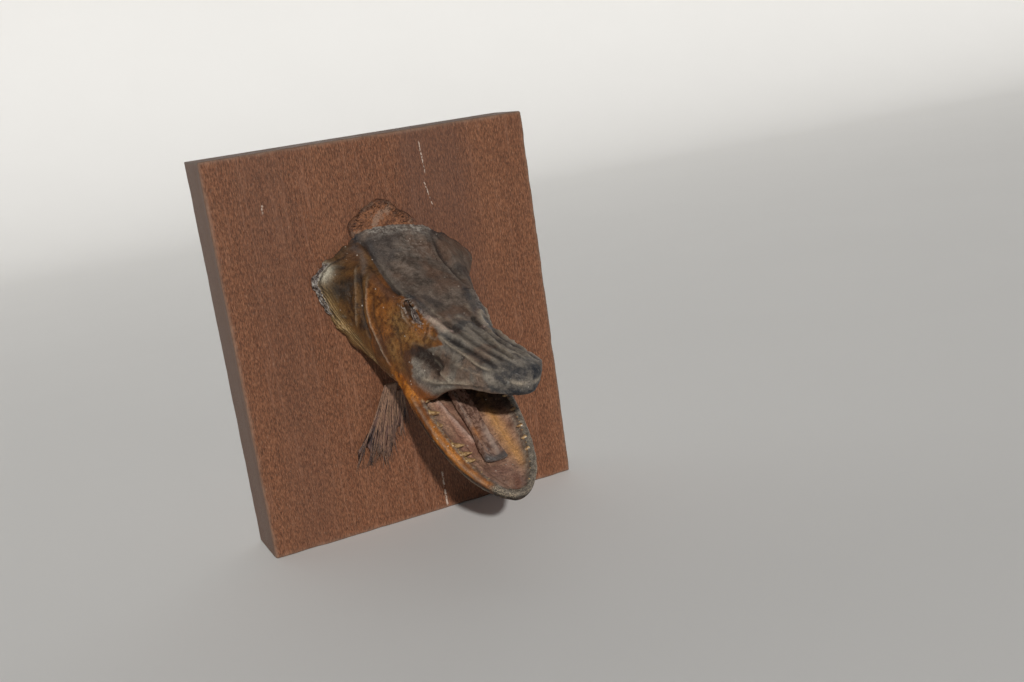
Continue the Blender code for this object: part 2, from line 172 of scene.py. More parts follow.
def from_jaw(points):
    return np.array(JAW_TIP) + np.asarray(points) @ JAW_AXES


# ---------------------------------------------------------------- small maths
def lattice(ix, iy, iz, seed):
    """A fixed pseudo-random number from 0 to 1 for each whole-number place."""
    h = (ix * 374761393 + iy * 668265263 + iz * 2147483647 + seed * 1274126177) & 0xFFFFFFFF
    h = ((h ^ (h >> 13)) * 1103515245) & 0xFFFFFFFF
    h = ((h ^ (h >> 16)) * 2654435761) & 0xFFFFFFFF
    return ((h ^ (h >> 15)) & 0xFFFF) / 65535.0


def noise(points, size, seed=0, octaves=3, rough=0.5):
    """Smooth noise from -1 to 1. size is one feature's size, or one size per axis."""
    place = np.asarray(points, float) / np.asarray(size, float)
    total, weight, reach = 0.0, 1.0, 0.0
    for octave in range(octaves):
        cell = np.floor(place).astype(np.int64)
        part = place - cell
        part = part * part * (3 - 2 * part)
        value = 0.0
        for dx in (0, 1):
            for dy in (0, 1):
                for dz in (0, 1):
                    share = (
                        (part[..., 0] if dx else 1 - part[..., 0])
                        * (part[..., 1] if dy else 1 - part[..., 1])
                        * (part[..., 2] if dz else 1 - part[..., 2])
                    )
                    value = value + share * lattice(
                        cell[..., 0] + dx, cell[..., 1] + dy, cell[..., 2] + dz, seed + octave
                    )
        total = total + weight * (2 * value - 1)
        reach += weight
        weight *= rough
        place = place * 2.03 + 11.7
    return total / reach


def smooth(low, high, value):
    """0 below low, 1 above high, and smooth between."""
    share = np.clip((value - low) / (high - low), 0.0, 1.0)
    return share * share * (3 - 2 * share)


def unit(value):
    return np.clip(value, 0, 1)


def bell(gap, width):
    """1 where gap is 0, falling away over a width or two on both sides."""
    return np.exp(-((gap / width) ** 2))


def meet(a, b, width):
    """Smooth union of two distances."""
    share = np.clip(0.5 + 0.5 * (b - a) / width, 0.0, 1.0)
    return b * (1 - share) + a * share - width * share * (1 - share)


def carve(a, b, width):
    """Takes b out of a, with a rounded edge."""
    return -meet(-a, b, width)


def along_line(points, line):
    """Distance of each point to a polyline, and how far along it, from 0 to 1."""
    line = np.asarray(line, float)
    steps = np.linalg.norm(np.diff(line, axis=0), axis=1)
    starts = np.concatenate([[0.0], np.cumsum(steps)])
    best = np.full(points.shape[:-1], 1e9)
    where = np.zeros(points.shape[:-1])
    for i, (a, b) in enumerate(zip(line[:-1], line[1:])):
        way = b - a
        share = np.clip(((points - a) @ way) / (way @ way), 0.0, 1.0)
        gap = np.linalg.norm(points - a - share[..., None] * way, axis=-1)
        nearer = gap < best
        best = np.where(nearer, gap, best)
        where = np.where(nearer, (starts[i] + share * steps[i]) / starts[-1], where)
    return best, where


def curve_through(points, per_span, closed=False):
    points = np.asarray(points, float)
    count = len(points)
    t = np.arange(per_span)[:, None] / per_span
    found = []
    for i in range(count if closed else count - 1):
        if closed:
            a, b, c, d = (points[(i + k) % count] for k in (-1, 0, 1, 2))
        else:
            b, c = points[i], points[i + 1]
            a = points[i - 1] if i else 2 * b - c
            d = points[i + 2] if i + 2 < count else 2 * c - b
        square, cube = 2 * a - 5 * b + 4 * c - d, 3 * b - a - 3 * c + d
        found.append(0.5 * (2 * b + (c - a) * t + square * t**2 + cube * t**3))
    if not closed:
        found.append(points[-1:])
    return np.concatenate(found)


# ---------------------------------------------------------------- the head as a swept outline
class Sweep:
    """A body of star-shaped cross-sections: its radius by distance along and by angle, with detail added on top."""

    SPACING = 0.5
    ANGLES = 720

    def __init__(self, start, end, ring, middle, turn):
        self.start, self.turn, self.middle = start, turn, middle
        self.places = np.arange(start, end + self.SPACING / 2, self.SPACING)
        self.angles = np.linspace(-math.pi, math.pi, self.ANGLES, endpoint=False)
        self.radius = np.empty((len(self.places), self.ANGLES))
        for i, place in enumerate(self.places):
            outline = ring(place) - np.array([0.0, middle(place)])
            angle = np.arctan2(outline[:, 0], outline[:, 1])
            order = np.argsort(angle)
            self.radius[i] = np.interp(
                self.angles, angle[order], np.hypot(*outline.T)[order], period=2 * math.pi
            )
        self.detail = np.zeros_like(self.radius)
        # Painted shade for grooves and creases, and painted highlight for ridge crests, laid into the skin's colour;
        # the gill membrane's pale and dark stripes go in them too
        self.dark = np.zeros_like(self.radius)
        self.pale = np.zeros_like(self.radius)

    def surface(self):
        """The surface's points, before any detail."""
        across = self.radius * np.sin(self.angles)
        height = self.radius * np.cos(self.angles) + self.middle(self.places)[:, None]
        turn = self.turn(self.places)[:, None]
        lifted = height - TWIST_HEIGHT
        return np.stack([
            np.broadcast_to(self.places[:, None], across.shape),
            across * np.cos(turn) - lifted * np.sin(turn),
            across * np.sin(turn) + lifted * np.cos(turn) + TWIST_HEIGHT,
        ], axis=-1)

    def polar(self, points):
        turn = self.turn(points[..., 0])
        lifted = points[..., 2] - TWIST_HEIGHT
        across = points[..., 1] * np.cos(turn) + lifted * np.sin(turn)
        height = -points[..., 1] * np.sin(turn) + lifted * np.cos(turn) + TWIST_HEIGHT
        rise = height - self.middle(points[..., 0])
        return np.hypot(across, rise), np.arctan2(across, rise)

    def look_up(self, points, *tables):
        """Each table's value at the points' distance and angle."""
        row = np.clip((points[..., 0] - self.start) / self.SPACING, 0, len(self.places) - 1.001)
        _, angle = self.polar(points)
        column = (angle + math.pi) / (2 * math.pi) * self.ANGLES
        i, j = np.floor(row).astype(int), np.floor(column).astype(int)
        u, v = row - i, column - j
        j, k = j % self.ANGLES, (j + 1) % self.ANGLES
        return [
            (table[i, j] * (1 - v) + table[i, k] * v) * (1 - u)
            + (table[i + 1, j] * (1 - v) + table[i + 1, k] * v) * u
            for table in tables
        ]

    def settle(self):
        full = self.radius + self.detail
        self.full = full
        along = np.gradient(full, self.SPACING, axis=0)
        around = (np.roll(full, -1, 1) - np.roll(full, 1, 1)) / (2 * 2 * math.pi / self.ANGLES)
        self.steep = np.sqrt(1 + along**2 + (around / np.maximum(full, 2.0)) ** 2)

    def distance(self, points):
        reach, _ = self.polar(points)
        full, steep = self.look_up(points, self.full, self.steep)
        beyond = np.maximum(points[..., 0] - self.places[-1], self.start - points[..., 0])
        return np.maximum((reach - full) / steep, beyond)

    def around(self, path, reach):
        """Which surface points lie within reach of a path's box."""
        return ((self.skin > path.min(0) - reach) & (self.skin < path.max(0) + reach)).all(-1)

    def line(self, points, width, height, mirror=True, soft=1.0):
        """A ridge near the surface, or a groove where height is below 0. Both sides have it by default."""
        for side in (1, -1) if mirror else (1,):
            path = curve_through(np.asarray(points, float) * (1, side, 1), 4)
            near = self.around(path, 3 * width)
            gap, share = along_line(self.skin[near], path)
            fade = smooth(0.0, 0.12, share) * smooth(0.0, 0.12, 1 - share)
            bump = bell(gap, width) * fade * (1 + 0.3 * self.grain[near])
            self.detail[near] += height * bump
            # Ridges get painted highlight and grooves painted shade, as much as soft says
            shade = self.pale if height > 0 else self.dark
            shade[near] += soft * bump

    def dent(self, centre, radii, height, mirror=True, shade=0.0):
        """A swelling, or a hollow where height is below 0."""
        for side in (1, -1) if mirror else (1,):
            reach = (self.skin - np.asarray(centre, float) * (1, side, 1)) / np.asarray(radii, float)
            bump = np.exp(-(reach**2).sum(-1))
            self.detail += height * bump
            self.dark += shade * bump


def flat_row(row):
    return [number for item in row for number in (item if isinstance(item, tuple) else (item,))]


SECTION_TABLE = np.array([flat_row(row) for row in HEAD_SECTIONS], float)


def section_row(distance):
    where = SECTION_TABLE[:, 0]
    i = int(np.clip(np.searchsorted(where, distance) - 1, 0, len(where) - 2))
    step = where[i + 1] - where[i]
    t = (distance - where[i]) / step

    def slope(k):
        low, high = max(k - 1, 0), min(k + 1, len(where) - 1)
        return (SECTION_TABLE[high] - SECTION_TABLE[low]) / (where[high] - where[low])

    return (
        (2 * t**3 - 3 * t**2 + 1) * SECTION_TABLE[i]
        + (t**3 - 2 * t**2 + t) * step * slope(i)
        + (3 * t**2 - 2 * t**3) * SECTION_TABLE[i + 1]
        + (t**3 - t**2) * step * slope(i + 1)
    )


def head_ring(distance):
    row = section_row(distance)
    side = [(row[k], row[k + 1]) for k in range(2, 12, 2)]
    other = [(-across, height) for across, height in side[::-1]]
    fade = 1 - min(max(distance, 0.0), DROP_END) / DROP_END
    other[2] = (other[2][0] + LEFT_FLATTEN * fade, other[2][1])
    other[3] = (other[3][0], other[3][1] - LEFT_DROP * fade)
    return curve_through([(0.0, row[1])] + side + [(0.0, row[12])] + other, 10, closed=True)


def head_middle(distance):
    return np.interp(distance, SECTION_TABLE[:, 0], (SECTION_TABLE[:, 1] + SECTION_TABLE[:, 12]) / 2)


def head_turn(distance):
    return BACK_TWIST * (1 - np.clip(distance, 0.0, TWIST_END) / TWIST_END)


def jaw_half_width(along):
    return JAW_WIDTH * np.sqrt(1 - (1 - np.clip(along / JAW_NOSE, 0.0, 1.0)) ** 2)


def jaw_depth(along):
    return JAW_DEPTH_TIP + (JAW_DEPTH_BASE - JAW_DEPTH_TIP) * (1 - np.exp(-np.maximum(along, 0) / JAW_DEPTH_SPREAD))


def jaw_ring(along):
    half, depth = jaw_half_width(max(along, 0.6)), jaw_depth(along)
    side = [(half * across, -depth * down) for across, down in JAW_PROFILE]
    return curve_through([(0.0, 0.0)] + side + [(0.0, -depth)] + [(-a, h) for a, h in side[::-1]], 10, closed=True)


head = Sweep(-3.0, 215.0, head_ring, head_middle, head_turn)
jaw = Sweep(0.6, JAW_LENGTH + 6, jaw_ring, lambda along: -0.45 * jaw_depth(along), lambda along: 0.0 * along)
head.skin = head.surface()
head.grain = noise(head.skin, 5.0, seed=3)
jaw.skin = jaw.surface()
jaw.grain = noise(jaw.skin, 5.0, seed=4)

# Roof of the skull: edges, furrows and pits
head.line([(3, 29, 78), (20, 28, 69), (35, 26.5, 59), (50, 26.5, 51), (67, 27, 43), (80, 26.5, 38)],
          1.7, -2.3, soft=1.2)
head.line([(3, 25, 83), (20, 25, 73), (35, 24, 60), (52, 24, 50), (70, 24, 43), (84, 22, 38)], 1.6, 0.9, soft=0.4)
head.line([(4, 0, 86), (30, 0, 69), (60, 1, 51), (92, 0, 36)], 3.5, -0.7, mirror=False, soft=0.3)
head.line([(58, 9, 51), (74, 8, 44), (92, 8, 36), (108, 9, 29)], 1.6, -0.5, soft=0.3)
head.line([(100, 14, 33), (112, 12, 26), (120, 10, 24)], 1.6, 0.7, soft=0.5)
head.dent((94, 0, 36), (14, 8, 9), -1.8)
# Eye: a swollen brow, crumpled lids round the slit and the fold that loops forward of it
head.dent((92, 18.5, 37), (12, 4, 5), 0.9)
head.dent((96, 28, 22), (12, 8, 7), 0.9)
head.line([(80, 26.5, 41), (88, 23, 39.5), (98, 20.5, 35), (108, 19.5, 28.5), (116, 21.5, 21), (115, 25, 15.5),
           (106, 28, 17), (97, 29.5, 21.5), (88, 29.5, 28), (82, 28.5, 34.5), (80, 26.5, 41)], 1.2, 1.3, soft=0.35)
head.line([(82, 31, 32), (91, 32, 24), (101, 31, 17), (111, 28.5, 12), (120, 25, 14)], 1.2, -1.1, soft=0.5)
head.line([(84, 29.5, 31), (93, 30, 24.5), (103, 28.8, 18.5), (112, 26, 15)], 0.8, 0.9, soft=0.8)
head.line([(112, 25, 20), (118, 23.5, 15), (124, 22.5, 14), (127, 20.5, 16)], 1.0, 0.9, soft=0.5)
head.line([(79, 24.5, 42.5), (89, 20.5, 41.5), (100, 17.5, 36.5), (109, 15.5, 30.5)], 1.6, -1.6, soft=1.2)
# Lachrymal ridge, nostril and the dark pit between them
head.line([(108, 19.5, 26.5), (113, 17, 25), (119, 15.5, 23), (125, 15.5, 20.5), (129, 16.5, 18.5)],
          2.1, 2.2, soft=1.0)
head.line([(114, 12, 26), (120, 10.5, 23.5), (127, 10, 21), (133, 10, 19.5)], 2.2, -2.6, soft=1.7)
head.dent((128.5, 11.5, 20), (1.5, 1.5, 1.5), 1.6)
# Long ridges of the snout
head.line([(124, 21, 17.5), (143, 20, 12.5), (165, 20, 9), (192, 19, 4), (203, 14.5, 4)], 1.15, 2.1, soft=1.2)
head.line([(127, 15, 19.5), (143, 12.5, 16.5), (173, 12, 11.5), (200, 12, 7)], 1.3, 1.1, soft=0.5)
head.line([(128, 18, 16.5), (150, 16.2, 13), (175, 16, 9.5), (197, 15.6, 5), (204, 13.5, -3)], 1.9, -2.1, soft=1.0)
head.line([(132, 7, 20), (152, 6, 16), (180, 5, 12), (203, 5, 8)], 1.3, 1.0, soft=0.6)
head.line([(128, 9.5, 20), (150, 9, 16), (176, 8.5, 12), (200, 8.5, 8)], 1.7, -1.3, soft=0.9)
head.line([(126, 1, 23), (150, 1, 16.5), (179, -1, 12), (204, -2, 8)], 2.0, -1.2, mirror=False, soft=0.8)
head.line([(150, 3.5, 16.5), (169, 2.5, 13), (188, 0.5, 10), (203, -3, 7)], 1.1, 1.5, mirror=False, soft=1.2)
head.line([(208, 10, -2), (212, 7.5, -3.5), (214.5, 0, -4.5)], 1.4, 0.8, soft=1.0)
head.line([(204, 13, 1), (210, 9, 0), (214, 0, -1.5)], 1.4, -0.7, soft=0.5)
# Cheek bones above the lip, and the hollow over the maxilla
head.line([(105, 31, 4.5), (118, 29.5, 2), (131, 28, -1.5), (143, 27, -6)], 3.8, -3.8, soft=0.9)
head.line([(101, 32, 9.5), (113, 28.5, 9.5), (126, 26, 7), (140, 24.5, 2)], 1.1, 1.3, soft=0.3)
head.line([(124, 28, 1), (134, 27.8, -2), (145, 27.2, -6.5), (157, 26.5, -9.5)], 1.1, 1.9, soft=1.0)
head.line([(117, 33, -13), (130, 31.5, -12.5), (146, 29, -12), (160, 26, -9.5), (178, 22, -8)], 1.5, 1.1, soft=0.9)
head.line([(120, 33, -17), (134, 31, -15.5), (150, 28, -13), (168, 24, -11), (190, 18, -9.5)], 1.3, -0.8, soft=0.6)
head.line([(110, 30, 10), (124, 26, 9), (140, 24, 6), (158, 23, 3)], 1.6, -0.8, soft=0.5)
head.line([(150, 24.5, 2.5), (170, 22.8, 1), (190, 20, -1)], 1.2, 0.6, soft=0.5)
# Preopercle: two thin crescent ridges with a furrow between
head.line([(24, 38, 61), (34, 44, 50), (39, 46, 38), (38, 46, 25), (33, 45, 12)], 0.9, 1.2, soft=0.35)
head.line([(40, 35, 56), (46, 40.5, 46), (51, 43, 33), (56, 42.5, 20), (64, 41, 8), (72, 39.5, -3), (80, 37.5, -12)],
          0.95, 1.3, soft=0.9)
head.line([(30, 40, 57), (41, 44, 44), (45, 45, 32), (47, 44, 18), (55, 41, 4)], 2.2, -2.0, soft=0.9)
head.line([(54, 38, 40), (58, 41, 30), (63, 41, 18), (72, 39, 6)], 1.8, -0.8, soft=0.5)
head.line([(84, 34, 20), (90, 36, 8), (97, 36, -3)], 1.8, -0.8, soft=0.5)
head.dent((72, 39, 20), (16, 8, 16), 0.9)
# Gill cover: a soft hollow behind its ridge
head.dent((20, 52, 40), (11, 10, 15), -2.0)
head.dent((8, 60, 52), (8, 10, 8), 1.0)
head.dent((6, 35, 75), (12, 6, 6), -1.6)
# The left gill cover's lobes, which flare from the board
head.dent((1, -50, 58), (13, 8, 8), 6.5, mirror=False)
head.dent((1, -43, 69), (7, 7, 6), 5.0, mirror=False)
head.dent((0, -66, 46), (8, 6, 7), 2.0, mirror=False)
head.dent((0, -60, 27), (7, 8, 5), 2.2, mirror=False)
head.dent((3, -49, 11), (8, 8, 5), 1.8, mirror=False)
head.dent((8, -37, -3), (8, 8, 5), 1.6, mirror=False)
# Folds that fan to the gill cover's edge
head.line([(2, 55, 62), (14, 48, 58), (24, 42, 50), (30, 42, 40)], 1.4, -1.0, soft=0.5)
head.line([(4, 42, 71), (16, 38, 68), (28, 36, 62), (36, 36, 57)], 1.3, 1.0, soft=0.4)
head.line([(8, 37, 76), (20, 34, 70), (34, 33, 62)], 1.2, -1.0, soft=0.5)
# Sunken places of the roof
head.dent((34, 12, 66), (14, 9, 10), -1.3)
head.dent((66, 12, 48), (16, 8, 8), 0.8)
head.dent((22, 20, 74), (8, 6, 8), 1.0)
# Fine folds low on the gill cover
for lift in range(4):
    head.line([(30, 45, 34 - 6 * lift), (18, 51, 36 - 8 * lift), (4, 58, 40 - 11 * lift)], 1.1, 0.7, soft=0.35)


def fanned(skin):
    """How strongly the thin rays of the branchial membrane show, and their pattern of ridges."""
    edge = [(4, 60, 34), (9, 53, 18), (20, 46, 2), (38, 40, -12), (60, 35, -20), (82, 33, -25)]
    strength, ridges = 0.0, 0.0
    for side in (1, -1):
        gap, share = along_line(skin, curve_through(np.array(edge, float) * (1, side, 1), 2))
        here = bell(gap, 9.0)
        strength = strength + here
        ridges = ridges + here * np.sin(2 * math.pi * gap / 2.6 + 1.2 * np.sin(5 * share))
    return strength, ridges


golden, rays = fanned(head.skin)
head.detail += 0.55 * rays
head.pale += 0.70 * np.maximum(rays, 0) ** 2
head.dark += 0.38 * np.maximum(-rays, 0)
# Crinkled free edge of the gill covers, standing a little off the board
cover_band = smooth(24, 40, np.abs(head.skin[..., 1])) * bell(head.skin[..., 0], 7.0)
head.detail += cover_band * (2.2 * noise(head.skin, (14.0, 7.0, 7.0), seed=8, octaves=2)
                             + 0.9 * noise(head.skin, 2.4, seed=9, octaves=2))
roof_zone = smooth(-4, 4, 27 - np.abs(head.skin[..., 1])) * smooth(0.2, 0.7, np.cos(head.angles)[None, :])
# Creases: thin furrows where a slow noise crosses zero, with painted shade in them
for size, depth, seed in (((26.0, 9.0, 9.0), 0.55, 101), ((12.0, 5.0, 5.0), 0.30, 102)):
    crease = bell(noise(head.skin, size, seed=seed, octaves=2), 0.05)
    crease = crease * np.where(head.grain > 0, 1.0, 0.3) * (1 - 0.7 * roof_zone)
    head.detail -= depth * crease
    head.dark += 0.22 * crease
# Shrunken skin: broad sags, wrinkles along the head and fine crumpling
head.detail += 0.55 * head.grain
head.detail += 0.20 * noise(head.skin, (9.0, 3.0, 3.0), seed=11) + 0.14 * noise(head.skin, 1.6, seed=12)
head.detail += 0.8 * noise(head.skin, (16.0, 10.0, 14.0), seed=15)
nape_zone = roof_zone * smooth(26, 10, head.skin[..., 0] + 0.2 * head.skin[..., 1])
head.detail += nape_zone * (0.7 * noise(head.skin, (4.0, 8.0, 8.0), seed=17) + 0.4 * noise(head.skin, 2.0, seed=18))
taper = smooth(0.0, 9.0, head.places[-1] - head.places)[:, None]
head.detail *= 0.25 + 0.75 * taper
closing = np.sqrt(np.clip(1 - ((head.places - SNOUT_CLOSE) / SNOUT_END) ** 2, 0.0, 1.0))[:, None]
head.radius *= np.where(head.places[:, None] > SNOUT_CLOSE, 0.35 + 0.65 * closing, 1.0)

# Lower jaw: a lip band, chin folds and lengthwise streaks
for offset, height in ((0.16, 0.7), (0.42, -0.5), (0.66, 0.45)):
    path = [(t, float(jaw_half_width(t)) * (1.02 - 0.1 * offset), -offset * float(jaw_depth(t)))
            for t in (8, 20, 40, 62, 84, 108)]
    jaw.line(path, 1.4, height, soft=0.6)
jaw.line([(3, 0, -6), (30, 0, -16), (70, 0, -20)], 1.8, -0.9, mirror=False, soft=0.7)
jaw.line([(8, 5, -8), (40, 11, -16), (80, 15, -18), (112, 17, -20)], 1.5, -0.7, soft=0.5)
jaw.detail += (0.45 * jaw.grain + 0.28 * noise(jaw.skin, (9.0, 2.2, 2.2), seed=21)
               + 0.14 * noise(jaw.skin, 1.4, seed=22))
head.settle()
jaw.settle()


def ellipse_distance(points, centre, radii):
    reach = (points - np.asarray(centre)) / np.asarray(radii)
    length = np.linalg.norm(reach, axis=-1)
    slope = np.linalg.norm(reach / np.asarray(radii), axis=-1)
    return length * (length - 1) / np.maximum(slope, 1e-6)


def slit_distance(points):
    """Distance to the slit of the nearer eye."""
    folded = points * np.array([1.0, 0.0, 1.0]) + np.abs(points) * np.array([0.0, 1.0, 0.0]) - np.array(SLIT_AT)
    cos, sin = math.cos(SLIT_TURN), math.sin(SLIT_TURN)
    turned = np.stack([
        folded[..., 0] * cos + folded[..., 2] * sin, folded[..., 1], folded[..., 2] * cos - folded[..., 0] * sin
    ], axis=-1)
    return ellipse_distance(turned, (0, 0, 0), SLIT_RADII)


def trough_distance(place):
    """Distance to the hollow of the lower jaw, from points in the jaw's frame."""
    along, across, out = place[..., 0], place[..., 1], place[..., 2]
    half = np.maximum(jaw_half_width(along) - JAW_WALL, 1.2)
    depth = (TROUGH_DEPTH + 1.2) * np.sqrt(np.clip((along - JAW_WALL) / TROUGH_RUN, 0.004, 1.0))
    bumps = 0.5 * noise(place, (8.0, 3.0, 8.0), seed=31, octaves=2) + 0.25 * noise(place, 1.7, seed=32, octaves=1)
    wander = 1.5 * noise(place, (14.0, 40.0, 40.0), seed=33, octaves=1)
    gums = bell(np.abs(across) - half + 4.5, 2.0) * np.sin(along / 1.9 + np.sign(across) + wander)
    folds = 0.9 * bell(np.abs(across) - 0.55 * half + wander, 1.5)
    folds = folds + 2.6 * strap(along, across)
    folds = folds + 1.0 * bell(across - 15.0 + wander, 2.0) * smooth(30, 50, along)
    down = np.minimum(out, 0.0)
    length = np.sqrt((across / half) ** 2 + (down / depth) ** 2)
    slope = np.sqrt((across / half**2) ** 2 + (down / depth**2) ** 2)
    hollow = length * (length - 1) / np.maximum(slope, 1e-3) + bumps + 0.25 * gums + folds
    return np.maximum(hollow, (JAW_WALL - along) * 0.9)


def head_field(points):
    """Signed distance to the skin, below 0 inside, at points of the head's frame in mm."""
    place = to_jaw(points)
    upper = head.distance(points)
    palate = ellipse_distance(points, CAVITY_CENTRE, CAVITY_RADII)
    ridges = 0.7 * np.cos(points[..., 1] / 3.2) + 0.5 * noise(points, (6.0, 2.5, 6.0), seed=41, octaves=2)
    upper = carve(upper, palate + ridges, 2.2)
    rim = np.maximum(place[..., 2] - 0.9, place[..., 0] - JAW_LENGTH - 0.3)
    upper = carve(upper, rim, 1.2)
    upper = carve(upper, slit_distance(points) + 0.5 * noise(points, 2.2, seed=44, octaves=2), 1.0)
    lower = np.maximum(jaw.distance(place), place[..., 0] - JAW_LENGTH)
    lower = carve(lower, trough_distance(place), 1.3)
    whole = meet(upper, lower, 3.4)
    # The gill covers' free edges stand off the board, so that a dark slit shows under them
    free = 2.6 * (0.5 + 0.5 * noise(points * (0, 1, 1), 11.0, seed=51, octaves=1))
    slit = np.maximum(points[..., 0] - free, 4.0 - head.distance(points) - 7.5)
    slit = np.maximum(slit, 30.0 - np.abs(points[..., 1]))
    whole = carve(whole, slit, 0.8)
    behind = (to_row(points)[..., 1] - (FACE_Y - GAP)) / MM
    return np.maximum(whole, behind)


# ---------------------------------------------------------------- skin mesh
def surface_nets(field, low, step):
    """Vertices and quads of the surface where the field changes sign."""
    inside = field < 0
    corners = [(dx, dy, dz) for dx in (0, 1) for dy in (0, 1) for dz in (0, 1)]
    nx, ny, nz = (size - 1 for size in field.shape)
    total = np.zeros((nx, ny, nz), np.uint8)
    for dx, dy, dz in corners:
        total += inside[dx:dx + nx, dy:dy + ny, dz:dz + nz]
    active = (total > 0) & (total < 8)
    cells = np.argwhere(active)
    index = np.full(active.shape, -1, np.int64)
    index[active] = np.arange(len(cells))
    sums, counts = np.zeros((len(cells), 3)), np.zeros(len(cells))
    values = {c: field[cells[:, 0] + c[0], cells[:, 1] + c[1], cells[:, 2] + c[2]] for c in corners}
    for a in corners:
        for axis in range(3):
            if a[axis]:
                continue
            b = tuple(1 if k == axis else a[k] for k in range(3))
            va, vb = values[a], values[b]
            crossed = (va < 0) != (vb < 0)
            share = np.where(crossed, va / np.where(crossed, va - vb, 1.0), 0.0)
            point = np.array(a, float) + share[:, None] * (np.array(b) - np.array(a))
            sums += point * crossed[:, None]
            counts += crossed
    vertices = low + step * (cells + sums / counts[:, None])
    faces = []
    for axis in range(3):
        u, v = (axis + 1) % 3, (axis + 2) % 3
        here = [slice(1, None)] * 3
        here[axis] = slice(0, -1)
        there = list(here)
        there[axis] = slice(1, None)
        first, second = inside[tuple(here)], inside[tuple(there)]
        for flip in (False, True):
            at = np.argwhere((first & ~second) if not flip else (~first & second))
            at[:, u] += 1
            at[:, v] += 1
            ring = []
            for du, dv in ((-1, -1), (0, -1), (0, 0), (-1, 0)):
                cell = at.copy()
                cell[:, u] += du
                cell[:, v] += dv
                keep = (cell >= 0).all(1) & (cell < active.shape).all(1)
                cell = np.where(keep[:, None], cell, 0)
                ring.append(np.where(keep, index[tuple(cell.T)], -1))
            quad = np.stack(ring[::-1] if flip else ring, axis=1)
            faces.append(quad[(quad >= 0).all(1)])
    return vertices, np.concatenate(faces)


def skin_mesh(field, low, high, step):
    """Samples the field finely only near its surface."""
    low, high = np.asarray(low, float), np.asarray(high, float)
    block = BLOCK
    blocks = np.ceil((high - low) / (step * block)).astype(int)
    coarse = np.stack(np.meshgrid(*[low[k] + step * block * (np.arange(blocks[k]) + 0.5) for k in range(3)],
                                  indexing="ij"), -1)
    far = field(coarse.reshape(-1, 3)).reshape(blocks)
    fine = np.where(far < 0, -FAR, FAR).astype(np.float32)
    for axis in range(3):
        fine = np.repeat(fine, block, axis)
    near = np.argwhere(np.abs(far) < step * block * 1.15)
    local = np.stack(np.meshgrid(*[np.arange(block)] * 3, indexing="ij"), -1).reshape(-1, 3)
    for batch in np.array_split(near, max(1, len(near) // 4000)):
        cells = (batch[:, None, :] * block + local[None]).reshape(-1, 3)
        fine[tuple(cells.T)] = field(low + step * (cells + 0.5))
    return surface_nets(fine, low + step * 0.5, step)


def shell(name, vertices, faces, material):
    """A mesh object from arrays, in the row frame."""
    mesh = bpy.data.meshes.new(name)
    sizes = np.full(len(faces), faces.shape[1])
    mesh.vertices.add(len(vertices))
    mesh.vertices.foreach_set("co", np.asarray(vertices, np.float32).ravel())
    mesh.loops.add(faces.size)
    mesh.loops.foreach_set("vertex_index", faces.astype(np.int32).ravel())
    mesh.polygons.add(len(faces))
    mesh.polygons.foreach_set("loop_start", np.concatenate([[0], np.cumsum(sizes)[:-1]]).astype(np.int32))
    mesh.polygons.foreach_set("use_smooth", np.full(len(faces), True))
    mesh.update(calc_edges=True)
    mesh.validate()
    mesh.materials.append(material)
    made = bpy.data.objects.new(name, mesh)
    bpy.context.scene.collection.objects.link(made)
    return made


def paint(piece, **masks):
    """Stores one number per vertex under each name, for the material to read."""
    for name, values in masks.items():
        layer = piece.data.attributes.new(name, "FLOAT", "POINT")
        layer.data.foreach_set("value", np.asarray(values, np.float32))


